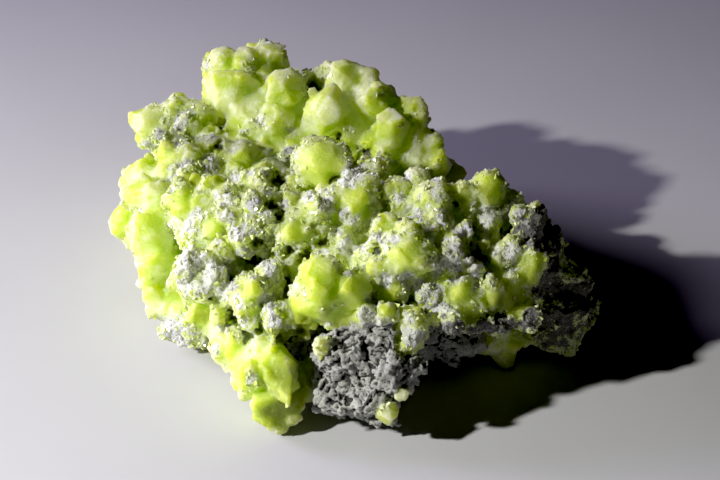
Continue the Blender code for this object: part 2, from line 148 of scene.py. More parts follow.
# Patches of grains: place and reach in millimetres, how thick, and from 0 for white to 1 for grey; values up to
# 2 run on into a dark painted shade, and the grey of patches on shaded sides and under overhangs is partly
# painted shade
CRUST_PATCHES = {
    "ridge white": ((-27.9, -9.7, 26.6), 1.3, 0.95, 0.1),
    "ridge white low": ((-28.5, -10.4, 24.5), 1.0, 0.9, 0.4),
    "crest white": ((-22.0, -8.6, 28.8), 1.8, 0.9, 0.12),
    "crest white low": ((-21.5, -13.9, 29.3), 1.2, 0.8, 0.2),
    "crest middle": ((-16.7, -12.1, 30.9), 1.5, 0.7, 0.12),
    "crest bright spot": ((-7.3, -12.0, 31.7), 1.1, 1, 0.1),
    "crest frosted": ((-4.7, -13.4, 30.7), 1.6, 0.6, 0.1),
    "crest low spot": ((-13.9, -10.7, 31.6), 0.8, 0.9, 0.2),
    "dark seam grains": ((-12.0, -12.0, 29.7), 1.5, 0.75, 0.9),
    "ridge grey spot": ((-1.3, -14.5, 30.0), 1.3, 0.85, 0.3),
    "ridge grey spot low": ((0.4, -15.7, 29.0), 1.0, 0.85, 0.3),
    "pale block rim": ((-2.8, -15.9, 27.2), 1.1, 0.9, 0.15),
    "pale block top": ((-1.1, -18.0, 25.8), 1.8, 0.75, 0.08),
    "blue grey spot": ((4.4, -20.7, 30.0), 1.1, 1, 0.75),
    "grey spot": ((7.2, -23.1, 30.7), 1.0, 1, 0.45),
    "crest white spot": ((8.1, -10.5, 30.8), 1.3, 1, 0.08),
    "crest lump rim": ((9.5, -7.5, 32.7), 1.0, 0.8, 0.2),
    "brow grains": ((11.3, -15.0, 30.3), 1.3, 1, 0.55),
    "brow grains right": ((15.1, -17.6, 31.8), 1.3, 0.8, 0.45),
    "brow grains left": ((9.0, -17.8, 30.9), 1.0, 0.7, 0.4),
    "ridge end frost": ((13.5, -13.4, 31.1), 1.0, 0.7, 0.15),
    "ridge end crest": ((14.7, -8.5, 32.8), 1.2, 0.9, 0.2),
    "ridge end cleft": ((17.8, -10.4, 31.6), 0.8, 1, 0.35),
    "ridge end foot": ((17.1, -16.3, 30.2), 1.1, 0.8, 0.4),
    "cavity rim left": ((18.5, -20.3, 30.0), 1.3, 1, 0.4),
    "cavity rim": ((20.2, -19.2, 30.2), 1.1, 1, 0.4),
    "corner grains": ((26.5, -10.2, 27.0), 1.5, 1.1, 0.45),
    "corner grains outer": ((28.9, -12.4, 28.7), 1.3, 1, 0.35),
    "corner grains right": ((29.5, -14.3, 28.2), 0.8, 1, 0.4),
    "corner grains low": ((23.7, -12.6, 28.7), 1.3, 0.9, 0.3),
    "corner face": ((23.1, -14.3, 26.3), 1.2, 0.7, 0.2),
    "white crust": ((26.9, -17.0, 23.3), 2.3, 1.4, 0.1),
    "white crust low": ((27.3, -22.1, 24.1), 1.1, 1.1, 0.2),
    "corner end": ((32.5, -14.4, 25.9), 1.0, 1, 0.4),
    "face crust": ((17.2, -23.0, 29.0), 1.6, 1.1, 0.3),
    "face crust low": ((16.5, -24.8, 27.3), 1.6, 1.1, 0.3),
    "cavity lower rim": ((20.6, -23.4, 27.2), 1.3, 1.2, 0.55),
    "cavity lower grains": ((20.8, -23.8, 24.7), 1.1, 1.1, 0.75),
    "face crust left": ((14.5, -25.2, 26.4), 1.3, 1.1, 0.3),
    "finger top": ((23.0, -22.7, 23.7), 1.1, 1, 0.3),
    "lip lump grey": ((17.4, -26.0, 23.4), 1.1, 0.9, 0.5),
    "lip lump white": ((19.9, -26.5, 22.7), 0.8, 0.9, 0.1),
    "lip crust": ((6.0, -27.5, 25.4), 1.4, 1, 0.15),
    "lip crust middle": ((8.9, -27.1, 25.7), 1.4, 1, 0.35),
    "lip crust right": ((10.8, -26.2, 23.6), 1.4, 1.1, 0.55),
    "lip crust end": ((13.5, -27.1, 22.8), 1.6, 1.2, 0.5),
    "lip crust tip": ((14.8, -29.4, 22.2), 1.3, 1.2, 0.55),
    "lip crust tip low": ((13.3, -29.4, 20.9), 1.1, 1.2, 0.6),
    "lip left": ((-0.4, -27.9, 26.8), 1.1, 0.9, 0.45),
    "over rock upper": ((2.8, -28.5, 22.2), 1.6, 0.9, 0.2),
    "over rock": ((2.1, -31.6, 21.8), 1.4, 1.1, 0.45),
    "over rock low": ((3.3, -33.5, 20.7), 1.7, 1.2, 0.55),
    "over rock right": ((5.6, -33.8, 20.7), 1.1, 1, 0.6),
    "hanging lump top": ((9.7, -32.0, 21.0), 1.1, 0.9, 0.3),
    "hanging lump foot": ((9.9, -33.8, 18.6), 1.6, 1.1, 0.5),
    "hanging lump side": ((7.1, -34.3, 20.1), 0.8, 1, 0.6),
    "white lump": ((-27.9, -18.3, 22.5), 2.5, 1.5, 0.03),
    "white lump low": ((-28.8, -21.0, 19.0), 1.5, 1.3, 0.08),
    "white lump right": ((-23.7, -19.4, 21.4), 2.1, 1.3, 0.08),
    "white lump right low": ((-22.5, -22.0, 18.8), 1.5, 1.2, 0.15),
    "white lump middle": ((-25.3, -23.3, 20.3), 1.3, 1.1, 0.25),
    "white lump shade": ((-20.6, -22.9, 21.0), 1.1, 1.1, 0.8),
    "white lump end": ((-19.1, -27.0, 20.9), 1.3, 1, 0.55),
    "frosted lump": ((-22.8, -13.6, 21.8), 1.7, 0.9, 0.15),
    "olive dome top": ((-19.4, -15.4, 26.6), 1.5, 0.7, 0.5),
    "olive dome shade": ((-18.2, -14.9, 22.2), 1.7, 1, 1),
    "low lump top": ((-15.0, -21.0, 24.5), 1.5, 1.1, 0.1),
    "low lump top right": ((-13.9, -22.0, 23.4), 1.1, 1, 0.2),
    "low lump grey": ((-14.7, -26.1, 20.2), 1.5, 1.1, 0.5),
    "low lump face": ((-13.1, -29.3, 18.5), 1.3, 1.1, 0.45),
    "low lump white": ((-18.4, -26.7, 16.0), 1.3, 1.2, 0.08),
    "low lump white low": ((-19.0, -27.2, 12.8), 1.3, 1.1, 0.3),
    "low lump spots": ((-16.5, -27.8, 13.8), 1.1, 0.9, 0.3),
    "low lump right": ((-10.5, -31.2, 17.8), 1.3, 1.1, 0.6),
    "hole grains": ((-9.4, -18.5, 25.2), 0.8, 1.1, 0.3),
    "hole grains right": ((-5.0, -19.6, 25.4), 1.1, 1.1, 0.25),
    "hole grains upper": ((-7.3, -18.5, 25.7), 0.8, 0.9, 0.4),
    "crystal foot grains": ((-3.8, -30.6, 18.4), 1.1, 0.7, 0.15),
    "crystal top frost": ((-5.7, -27.8, 28.3), 1.3, 0.45, 0.05),
    "left base": ((-28.0, -18.3, 7.3), 1.5, 1.1, 0.6),
    "left base right": ((-25.9, -18.3, 5.5), 1.7, 1.1, 0.6),
    "left base dark": ((-22.3, -25.6, 13.8), 1.2, 1.1, 0.8),
    "left base low": ((-24.0, -26.2, 9.7), 1.3, 1, 0.6),
    "between slabs": ((-38.6, -0.7, 20.9), 1.2, 1, 0.55),
    "between slabs low": ((-32.7, -5.4, 20.3), 0.9, 0.8, 0.4),
    "valley left": ((-33.1, 5.1, 24.2), 1.4, 1.1, 0.3),
    "valley upper": ((-30.4, 7.6, 25.6), 1.6, 1, 0.4),
    "valley grains": ((-26.1, 8.5, 25.0), 2.1, 1.1, 0.5),
    "valley middle": ((-21.9, 7.2, 22.9), 1.9, 1.1, 0.35),
    "valley right": ((-18.5, 5.9, 25.0), 1.2, 1, 0.5),
    "valley lump grey": ((-11.7, 13.1, 23.9), 1.9, 1.2, 0.7),
    "valley end": ((-15.4, 5.1, 25.5), 1.4, 0.9, 0.6),
    "pale lump": ((0.1, -6.6, 32.1), 2.2, 1.8, 0),
    "pale lump foot": ((2.2, -6.5, 29.5), 1.2, 1, 0.2),
    "beside pale lump": ((4.8, -7.0, 29.2), 1.0, 1, 0.6),
    "shoulder white": ((-38.3, 17.0, 23.3), 1.6, 1.2, 0.2),
    "shoulder speckle": ((-31.9, 18.5, 27.2), 2.1, 0.9, 0.45),
    "shoulder speckle left": ((-35.7, 15.3, 26.8), 1.6, 0.9, 0.35),
    "shoulder crest": ((-30.4, 20.1, 28.6), 1.8, 0.9, 0.5),
    "shoulder crest right": ((-27.2, 22.6, 28.1), 1.3, 0.7, 0.4),
    "shoulder foot": ((-32.3, 13.7, 25.7), 1.4, 0.9, 0.3),
    "shoulder edge": ((-33.3, 7.1, 25.2), 1.2, 0.9, 0.3),
    "crown left rim": ((-27.8, 34.3, 30.9), 1.5, 0.9, 0.1),
    "crown white": ((-19.5, 29.1, 33.0), 1.6, 0.9, 0.08),
    "crown top rim": ((-16.8, 37.8, 33.8), 1.5, 0.9, 0.2),
    "crown notch rim": ((-10.4, 28.5, 32.1), 1.1, 0.9, 0.3),
    "crown foot": ((-16.9, 18.0, 28.0), 1.6, 0.8, 0.1),
    "crown foot low": ((-20.1, 17.8, 25.9), 1.2, 0.8, 0.3),
    "rear speckle": ((-11.7, 17.5, 26.1), 1.2, 0.8, 0.3),
    "rear lump rim": ((-1.1, 15.0, 27.9), 1.2, 0.8, 0.3),
    "rear ridge rim": ((9.1, 16.5, 27.2), 1.6, 0.8, 0.15),
    "rear bright spot": ((5.8, 20.9, 32.5), 1.1, 0.6, 0.05),
    "foot white": ((-16.8, -36.0, 11.2), 1.8, 1.0, 0.0),
    "foot white right": ((-14.3, -35.3, 9.4), 1.0, 0.8, 0.05),
    "foot upper edge": ((-18.6, -31.3, 13.1), 1.0, 0.5, 0.1),
    "foot left edge": ((-20.4, -31.6, 10.6), 2.2, 0.45, 0.0),
    "foot left edge low": ((-18.6, -36.0, 6.5), 1.8, 0.4, 0.0),
    "clump crystal frost": ((5.7, -41.0, 9.1), 0.8, 0.6, 0.1),
    "left foot": ((-31.5, -16.0, 5.5), 5.5, 1.0, 0.6),
    "under lip": ((18.4, -33.0, 18.4), 2.0, 1.6, 1.8),
    "under lip left": ((15.6, -33.0, 19.6), 1.4, 1.4, 1.6),
    "under lip right": ((21.8, -29.5, 16.8), 2.0, 1.6, 1.8),
    "under lip end": ((26.0, -29.0, 17.0), 2.0, 1.6, 1.8),
    "under lip tip": ((30.4, -28.0, 17.2), 1.8, 1.5, 1.9),
    "dark corner": ((33.0, -9.0, 21.0), 5.0, 1.3, 2),
    "dark corner crown": ((32.8, -11.2, 26.0), 2.6, 1.2, 1.9),
    "corner white": ((27.2, -21.6, 26.4), 1.7, 1.0, 0.1),
    "corner pale": ((25.0, -21.2, 27.0), 1.5, 0.5, 0.0),
    "right end": ((34.0, -16.0, 15.0), 4.5, 1.1, 2),
    "right base": ((36.0, -19.0, 9.5), 6.0, 1.1, 2),
    "right base end": ((41.0, -12.0, 9.0), 6.0, 1.1, 2),
    "back upper": ((-8.0, 38.0, 22.0), 6.0, 0.7, 0.5),
    "back left": ((-33.0, 30.0, 20.0), 6.0, 0.7, 0.5),
    "back right": ((12.0, 28.0, 18.0), 6.0, 0.7, 0.5),
}

# Places where the sulfur is clean and clear: place and reach in millimetres
CLEAR_PATCHES = {
    "clear crystal top": ((-5.7, -29.0, 27.6), 3.0),
    "clear crystal face": ((-0.0, -29.8, 25.3), 3.2),
    "clear crystal heart": ((-5.0, -31.1, 25.8), 2.4),
    "clear crystal dome": ((-8.5, -29.6, 19.6), 3.0),
    "clear crystal foot": ((-1.6, -29.5, 19.1), 2.5),
    "foot face": ((-13.1, -34.5, 12.2), 3.2),
    "foot upper": ((-20.2, -28.3, 11.1), 2.3),
    "foot left": ((-19.5, -32.7, 11.1), 1.9),
    "foot toe": ((-14.7, -37.2, 5.7), 2.9),
    "foot toe right": ((-10.3, -35.2, 6.1), 2.3),
    "foot dark crystal": ((-7.6, -31.7, 7.2), 1.8),
    "green crystal": ((-26.1, -21.2, 13.2), 2.2),
    "little clear crystal": ((-16.8, -26.8, 23.0), 1.4),
    "ridge left lump": ((-24.5, -12.0, 25.3), 1.7),
    "ridge olive lump": ((-10.7, -10.7, 29.9), 1.3),
    "ridge clear lump": ((-10.2, -17.1, 27.9), 1.8),
    "ridge lump": ((0.6, -12.1, 31.7), 2.1),
    "face lump": ((9.3, -26.2, 29.7), 2.7),
    "lip pale lump": ((6.0, -27.0, 22.0), 1.8),
    "lip clear lump": ((18.2, -27.4, 22.8), 1.8),
    "bright finger": ((23.6, -27.6, 21.4), 1.7),
    "dark smooth lump": ((30.3, -22.4, 24.3), 2.8),
    "lip slab": ((27.4, -25.6, 20.0), 2.4),
    "lip slab low": ((20.0, -30.7, 20.3), 1.9),
    "ridge end right": ((23.9, -9.1, 31.3), 2.5),
    "ridge end middle": ((19.2, -11.0, 30.5), 1.5),
    "hanging lump left": ((5.8, -31.5, 22.1), 1.3),
    "round lump": ((-5.4, -3.2, 33.2), 3.7),
    "left tip": ((-43.2, 2.6, 16.3), 2.8),
    "slab upper": ((-36.6, 1.4, 23.0), 4.1),
    "slab upper right": ((-29.8, -7.7, 27.2), 2.3),
    "slab middle": ((-36.2, -6.1, 19.9), 3.4),
    "slab low": ((-34.9, -9.0, 14.3), 3.2),
    "slab foot": ((-32.7, -12.9, 9.4), 2.9),
    "shoulder yellow lump": ((-34.4, 11.6, 24.9), 1.8),
    "shoulder lump": ((-38.4, 20.3, 27.0), 2.1),
    "crown left block": ((-22.1, 25.2, 29.4), 4.3),
    "crown pale block": ((-13.1, 23.6, 32.6), 3.0),
    "rear front lump": ((-14.0, 20.2, 28.8), 2.8),
    "rear smooth block": ((-4.6, 16.8, 30.7), 3.9),
    "rear knob": ((-1.3, 26.6, 33.6), 2.1),
    "rear pale ridge": ((6.5, 14.2, 27.6), 2.5),
    "rear right lump": ((11.5, 16.3, 26.2), 2.8),
    "rear right low": ((14.8, 11.8, 23.0), 2.8),
    "valley ball left": ((-27.9, -1.0, 27.7), 1.4),
    "valley ball": ((-24.3, -4.0, 29.5), 1.5),
    "valley lump": ((-20.3, 12.4, 24.8), 1.8),
}

# Places in the clean crystals that are coloured darker and more olive, partly their own deeper colour and partly
# painted shade on their shaded flanks and undersides: (place, reach)
OLIVE_AND_SHADE_PATCHES = {
    "dark smooth lump": ((30.3, -22.4, 24.3), 3.2),
    "lip slab": ((27.4, -26.0, 19.5), 2.8),
    "lip slab low": ((20.0, -30.7, 18.6), 2.6),
    "lip clear lump": ((18.2, -28.0, 20.8), 1.4),
    "foot toe": ((-13.8, -38.0, 4.8), 3.6),
    "foot toe right": ((-10.3, -35.2, 6.1), 2.6),
    "foot face": ((-12.0, -35.0, 10.4), 3.0),
    "foot dark crystal": ((-7.6, -31.7, 7.2), 2.4),
    "clear crystal dome": ((-8.5, -29.9, 18.8), 2.2),
    "clear crystal heart": ((-4.4, -31.1, 22.0), 1.0),
    "ridge olive lump": ((-10.7, -10.7, 29.9), 1.6),
    "ridge end middle": ((19.2, -11.0, 30.5), 1.8),
    "valley ball left": ((-27.9, -1.0, 27.7), 1.6),
    "valley ball": ((-24.3, -4.0, 29.5), 1.4),
    "green crystal": ((-26.1, -21.2, 13.2), 1.8),
    "rear knob": ((-1.3, 26.6, 33.6), 2.2),
}

# Holes between the lumps, their bottoms darkened with painted shade: place, reach and depth in millimetres
PITS = {
    "seam in ridge": ((-13.8, -12.1, 30.5), 1.0, 2.2),
    "seam in ridge low": ((-12.4, -13.4, 29.2), 1.0, 2.0),
    "hollow under dome": ((-17.9, -15.2, 20.0), 1.4, 3.5),
    "hollow beside dome": ((-16.5, -16.7, 25.5), 0.9, 2.5),
    "hole over crystal": ((-8.0, -18.9, 24.1), 1.4, 3.5),
    "hole over crystal left": ((-10.9, -17.9, 24.4), 1.0, 2.5),
    "hole over crystal right": ((-4.9, -17.6, 26.3), 1.2, 2.0),
    "cleft beside crystal": ((-11.6, -18.5, 18.1), 1.0, 2.2),
    "valley hole": ((-13.6, 4.3, 24.7), 1.6, 4.0),
    "valley slit": ((-3.1, -6.0, 31.1), 1.2, 2.5),
    "hole by green crystal": ((-21.1, -26.4, 16.6), 1.4, 3.0),
    "hole under white lump": ((-25.0, -23.1, 18.0), 0.7, 2.0),
    "hollow beside white lump": ((-21.0, -18.1, 18.9), 0.9, 2.2),
    "cavity behind foot": ((-10.3, -31.0, 14.8), 2.2, 4.0),
    "cavity behind foot right": ((-8.0, -30.1, 16.3), 1.4, 3.0),
    "dark spot": ((4.0, -23.3, 28.6), 1.0, 2.0),
    "cavity in face": ((20.6, -21.8, 28.9), 1.9, 4.0),
    "cavity in face low": ((22.6, -21.7, 25.9), 1.4, 3.0),
    "cavity in corner": ((26.7, -12.7, 25.3), 1.6, 3.5),
    "slit under lip": ((12.0, -28.8, 20.2), 1.2, 3.0),
    "slit under lip left": ((7.7, -29.1, 21.7), 0.8, 2.5),
    "crown notch": ((-7.7, 32.0, 28.1), 2.3, 4.5),
    "valley cleft": ((-25.1, 16.9, 27.4), 1.1, 2.0),
    "valley cleft low": ((-25.1, 13.0, 25.9), 1.1, 2.0),
    "cleft below rear lobe": ((2.2, 12.0, 24.6), 1.8, 3.0),
    "cleft in ridge end": ((17.9, -11.9, 30.3), 0.7, 1.5),
    "cleft by pale lump": ((-2.8, 14.3, 26.9), 0.9, 2.0),
}

# The most triangles in each piece, and how many crystals, grains and blocks are strewn
SULFUR_TRIANGLES = (165000, 195000, 130000)
ROCK_TRIANGLES = 130000
COVER_CRYSTALS = 3400
SUGAR_CRYSTALS = 10500
CRUST_GRAINS = 17500
ROCK_BLOCKS = 170

# How many different forms each kind has, and how many flats or corners each form has
CRYSTAL_FORMS = 10
CRYSTAL_FLATS = 14
ROCK_FORMS = 8
ROCK_FLATS = 10
SUGAR_FORMS = 8
SUGAR_FLATS = 7
GRAIN_FORMS = 6
GRAIN_CORNERS = 7

# How forms are strewn: share of the radius sunk in, stretch along each axis, and how far they lean
CRYSTALS_STREWN = (0.58, ((0.75, 1.1), (0.75, 1.1), (0.8, 1.3)), 0.9)
BLOCKS_STREWN = (0.65, ((0.8, 1.2), (0.8, 1.2), (0.5, 0.9)), 0.5)
GRAINS_STREWN = (0.2, ((0.7, 1.2),) * 3, 2.0)
SUGAR_STREWN = (0.35, ((0.75, 1.2),) * 3, 1.5)

# Smallest and largest radius, and how much more often the small ones come
ROCK_RADII = (1.0 * MM, 2.6 * MM, 1.6)
SUGAR_RADII = (0.13 * MM, 0.4 * MM, 2.4)
CRYSTAL_BIAS = 2.2
GRAIN_BIAS = 2.0
ROCK_INSET = -0.5

# Seeds of the random draws: of the forms, and of the points where they are strewn
CRYSTAL_SEEDS = (11, 21)
ROCK_SEEDS = (31, 32)
GRAIN_SEEDS = (41, 42)
SUGAR_SEEDS = (51, 52)

# Layers of noise: how wide their forms are in metres, and the seed of their pattern
CRUST_BROAD = (3.6 * MM, 1)
CRUST_FINE = (1.4 * MM, 2)
CRUST_GREYNESS = (2.6 * MM, 3)
CRUST_EDGES = (1.1 * MM, 81)
OLIVE_EDGES = (1.1 * MM, 85)
PIT_EDGES = (1.2 * MM, 61)
PIT_WALLS = (0.8 * MM, 71)
PIT_RIMS = (0.7 * MM, 75)
SULFUR_WAVES = (3.4 * MM, 5)
SULFUR_LARGE_CHIPS = (4.6 * MM, 26)
SULFUR_CHIPS = (2.1 * MM, 6)
SULFUR_SMALL_CHIPS = (0.85 * MM, 16)
SULFUR_SUGAR = (0.5 * MM, 7)
ROCK_PLATES = (2.7 * MM, 8)
ROCK_CHIPS = (1.3 * MM, 9)
ROCK_CHIP_EDGES = (0.8 * MM, 91)
ROCK_FLAKES = (0.6 * MM, 11)
ROCK_CRACKS = (2.3 * MM, 12)
ROCK_CRACKED = (3.0 * MM, 13)
ROCK_GRAIN = (0.33 * MM, 10)
SEED_STEPS = (7.31, 3.17, 5.73)
CHIP_HASH = 53.7
CHIP_EDGE = 0.22
CRACK_WIDTH = 0.09

# Rounds of smoothing: of the fused skin, its clean crystals, and the surroundings of hollows
SKIN_SOFTENING = 2
CLEAN_ROUNDING = 10
CLEFT_ROUNDS = 24
SULFUR_HOLLOW_ROUNDS = 14
ROCK_HOLLOW_ROUNDS = 10

# Colours that a user wouldn't change. The hollow and pit colours are painted shade, and the olive one is partly
# painted shade
OLIVE_AND_SHADE = (0.33, 0.41, 0.03)
CLEAN_HOLLOW_SHADE = (0.56, 0.65, 0.03)
SUGARY_HOLLOW_SHADE = (0.46, 0.50, 0.20)
PIT_SHADE = (0.055, 0.06, 0.035)
GRAIN_SPOTS = (0.2, 0.2, 0.18)
SUGAR_CLOUD = (0.76, 0.82, 0.5)

# The way from the back of a patch to its front, which the crusts and dark holes follow
FRONT = np.array((0.0, -0.81, 0.59))
PIT_SPREAD = 1.2
PIT_SINK = 0.6

# Height in millimetres above which lumps are lowered, and by what share
TOP_LUMPS = 34.0
TOP_LOWERED = 0.6
SULFUR_PIECES = ("sulfur_left", "sulfur_right", "sulfur_rear")

# The sulfur is parted into three pieces: along the valley between its ridges, and through the front ridge
# where its deepest clefts lie. Each cut is a place in millimetres and the direction that it faces
VALLEY_CUT = ((0.0, 10.2, 0.0), (0.138, 1.0, 0.0))
RIDGE_CUT = ((-14.0, -12.0, 24.0), (1.0, 0.0, 0.5))
CUT_OVERLAP = 1.6
SULFUR_CUTS = (((VALLEY_CUT, 1), (RIDGE_CUT, 1)), ((VALLEY_CUT, 1), (RIDGE_CUT, -1)), ((VALLEY_CUT, -1),))

# Orthorhombic sulfur: relative lengths of the a, b and c axes, its common faces and how far out each lies
AXES_ABC = (0.813, 1.0, 1.904)
CRYSTAL_FACES = (((1, 1, 1), 0.80), ((0, 0, 1), 0.98), ((1, 1, 3), 0.90), ((0, 1, 1), 0.86))
FACE_VARIATION = (0.86, 1.12)


class SulfurSettings(bpy.types.PropertyGroup):
    """Sizes and colours of the sulfur."""

    voxel: bpy.props.FloatProperty(
        name="Finest detail", description="Smallest form kept in the sulfur's surface",
        default=0.22 * MM, min=0.1 * MM, unit="LENGTH")
    crystal_min: bpy.props.FloatProperty(
        name="Smallest crystal", description="Smallest radius of the crystals grown into the surface",
        default=0.5 * MM, unit="LENGTH")
    crystal_max: bpy.props.FloatProperty(
        name="Largest crystal", description="Largest radius of the crystals grown into the surface",
        default=1.8 * MM, unit="LENGTH")
    deep: bpy.props.FloatVectorProperty(
        name="Deep colour", description="Colour of the clear yellow-green sulfur",
        default=(0.56, 0.71, 0.07), subtype="COLOR", min=0, max=1)
    pale: bpy.props.FloatVectorProperty(
        name="Pale colour", description="Colour of the cloudy and sugary sulfur",
        default=(0.74, 0.83, 0.38), subtype="COLOR", min=0, max=1)


class CrustSettings(bpy.types.PropertyGroup):
    """Sizes and colours of the grains strewn on the sulfur."""

    grain_min: bpy.props.FloatProperty(
        name="Smallest grain", description="Smallest radius of a grain",
        default=0.12 * MM, unit="LENGTH")
    grain_max: bpy.props.FloatProperty(
        name="Largest grain", description="Largest radius of a grain",
        default=0.32 * MM, unit="LENGTH")
    white: bpy.props.FloatVectorProperty(
        name="White", description="Colour of the whitest grains",
        default=(0.84, 0.87, 0.71), subtype="COLOR", min=0, max=1)
    grey: bpy.props.FloatVectorProperty(
        name="Grey", description="Colour of the grey grains",
        default=(0.46, 0.455, 0.44), subtype="COLOR", min=0, max=1)
    # Painted shade: the darkest grains colour the crust on the unlit right end and under the lip
    painted_shade: bpy.props.FloatVectorProperty(
        name="Dirt", description="Colour of the darkest, dirtiest grains",
        default=(0.12, 0.118, 0.10), subtype="COLOR", min=0, max=1)


class RockSettings(bpy.types.PropertyGroup):
    """Sizes and colours of the grey rock."""

    voxel: bpy.props.FloatProperty(
        name="Finest detail", description="Smallest form kept in the rock's surface",
        default=0.2 * MM, min=0.1 * MM, unit="LENGTH")
    light: bpy.props.FloatVectorProperty(
        name="Light grey", description="Colour of the rock's raised grains",
        default=(0.47, 0.475, 0.43), subtype="COLOR", min=0, max=1)
    # The dark grey is painted shade in the rock's cracks and hollows, and also colours random dark specks
    dark: bpy.props.FloatVectorProperty(
        name="Dark grey", description="Colour of the rock's cracks and hollows",
        default=(0.035, 0.035, 0.03), subtype="COLOR", min=0, max=1)


class StudioSettings(bpy.types.PropertyGroup):
    """Floor, lamp and camera."""

    lamp_power: bpy.props.FloatProperty(
        name="Lamp power", description="Power of the lamp, in watts", default=87, min=0)
    lamp_turn: bpy.props.FloatProperty(
        name="Lamp turn", description="How far in front of the left the lamp stands",
        default=math.radians(20), subtype="ANGLE")
    lamp_height: bpy.props.FloatProperty(
        name="Lamp height", description="Angle of the lamp above the table",
        default=math.radians(31), subtype="ANGLE")
    lamp_distance: bpy.props.FloatProperty(
        name="Lamp distance", description="From the specimen to the lamp", default=0.945, unit="LENGTH")
    fill_power: bpy.props.FloatProperty(
        name="Fill power", description="Power of the weak light behind, in watts", default=3.3, min=0)
    floor: bpy.props.FloatVectorProperty(
        name="Floor colour", description="Colour of the table top",
        default=(0.58, 0.58, 0.585), subtype="COLOR", min=0, max=1)


def clamp01(values):
    return np.clip(values, 0.0, 1.0)


def vertex_places(mesh):
    flat = np.zeros(len(mesh.vertices) * 3, np.float64)
    mesh.vertices.foreach_get("co", flat)
    return flat.reshape(-1, 3)


def vertex_normals(mesh):
    flat = np.zeros(len(mesh.vertices) * 3, np.float32)
    mesh.vertex_normals.foreach_get("vector", flat)
    return flat.reshape(-1, 3).astype(float)


def set_places(mesh, places):
    mesh.vertices.foreach_set("co", places.astype(np.float32).ravel())
    mesh.update()


def seed_shift(seed):
    """How far a seed moves a pattern, so that two seeds give two patterns."""
    return Vector([seed * step for step in SEED_STEPS])


def grain_noise(places, size, seed):
    """Smooth noise between about -1 and 1 at each place; size is the width of its forms in metres."""
    shift = seed_shift(seed)
    return np.array([noise.noise(Vector(place) / size + shift) for place in places])


def chip_noise(places, size, seed):
    """Flat chips that tilt every way, and how near each place is to the crack between two chips.

    The height lies between about -1 and 1, and the crack is 1 at an edge and 0 in the middle of a chip.
    """
    shift = seed_shift(seed)
    heights = np.zeros(len(places))
    cracks = np.zeros(len(places))
    for index, place in enumerate(places):
        point = Vector(place) / size + shift
        distances, centres = noise.voronoi(point)
        tilt = noise.cell_vector(centres[0] * CHIP_HASH) * 2 - Vector((1, 1, 1))
        heights[index] = tilt.dot(point - centres[0]) + 0.6 * tilt.x
        cracks[index] = distances[1] - distances[0]
    return heights, clamp01(1 - cracks / CHIP_EDGE)


def crack_noise(places, size, seed):
    """1 along thin, wandering cracks that lie about that far apart, 0 between them."""
    return clamp01(1 - abs(grain_noise(places, size, seed)) / CRACK_WIDTH)


def ragged(places, size, seed):
    """The places shifted by up to about that size, so that round patches around them come out ragged."""
    shifts = [grain_noise(places, size, seed + axis) for axis in range(3)]
    return places + 0.9 * size * np.stack(shifts, axis=1)


def patch_share(places, centre, reach):
    """1 in the middle of a patch and 0 a little beyond its reach, which is longer from front to back."""
    offset = places - np.array(centre) * MM
    offset -= 0.67 * (offset @ FRONT)[:, None] * FRONT
    return clamp01(1.35 - np.linalg.norm(offset, axis=1) / (reach * MM))


def nearest_patch(places, patches):
    """The share of the patch that covers each place most."""
    return np.max([patch_share(places, *patch) for patch in patches.values()], axis=0)


def cleanness(places, gain):
    """1 where the sulfur is clean and clear, and 0 away from it; a larger gain widens the clean parts."""
    return clamp01(gain * nearest_patch(places, CLEAR_PATCHES))


def zone(places, axis, start, width):
    """0 before a start along an axis and 1 after that width, in millimetres; a negative width turns it round."""
    return clamp01((places[:, axis] / MM - start) / width)


def rear_share(places):
    """1 on the rear lobe, 0 on the front ridge."""
    return zone(places, 1, 10.0, 4.0)


def crust_fields(places):
    """At each place how much crust lies, from 0 for clean through 0.4 for sugary to 1, and how grey it is; above
    1 the grey runs on into painted shade.
    """
    patches, total, greys = np.zeros((3, len(places)))
    shifted = ragged(places, *CRUST_EDGES)
    for centre, reach, thick, grey in CRUST_PATCHES.values():
        share = patch_share(shifted, centre, reach) * thick
        patches = np.maximum(patches, share)
        total += share
        greys += share * grey
    broad, fine = grain_noise(places, *CRUST_BROAD), grain_noise(places, *CRUST_FINE)
    ridge = zone(places, 1, 7.0, -6.0) * zone(places, 2, 12.0, 8.0)
    ground = clamp01(patches + ridge)
    level = 0.08 + 0.75 * patches + 0.3 * ridge + (0.36 * broad + 0.42 * fine) * (0.3 + 0.7 * ground)
    level -= 0.9 * nearest_patch(places, CLEAR_PATCHES) * (1 - 0.7 * patches)
    grey = greys / np.maximum(total, 0.05) - 0.05 + 0.3 * grain_noise(places, *CRUST_GREYNESS)
    return clamp01(level), np.clip(grey, 0.0, 2.0)


def dig_pits(mesh):
    """Sink the dark holes into the surface; returns each one's mouth, bottom and reach."""
    places, normals = vertex_places(mesh), vertex_normals(mesh)
    shifted = ragged(places, *PIT_EDGES)
    moves = np.zeros_like(places)
    holes = []
    for centre, reach, depth in PITS.values():
        share = patch_share(shifted, centre, PIT_SPREAD * reach)
        mouth = (places * share[:, None]).sum(axis=0) / share.sum()
        inward = -(normals * share[:, None]).sum(axis=0)
        inward *= 0.5 / np.linalg.norm(inward)
        inward -= 0.5 * FRONT
        inward *= PIT_SINK * depth * MM / np.linalg.norm(inward)
        moves += (share * share * (3 - 2 * share))[:, None] * inward
        holes.append((mouth, inward, reach * MM))
    set_places(mesh, places + moves)
    return holes


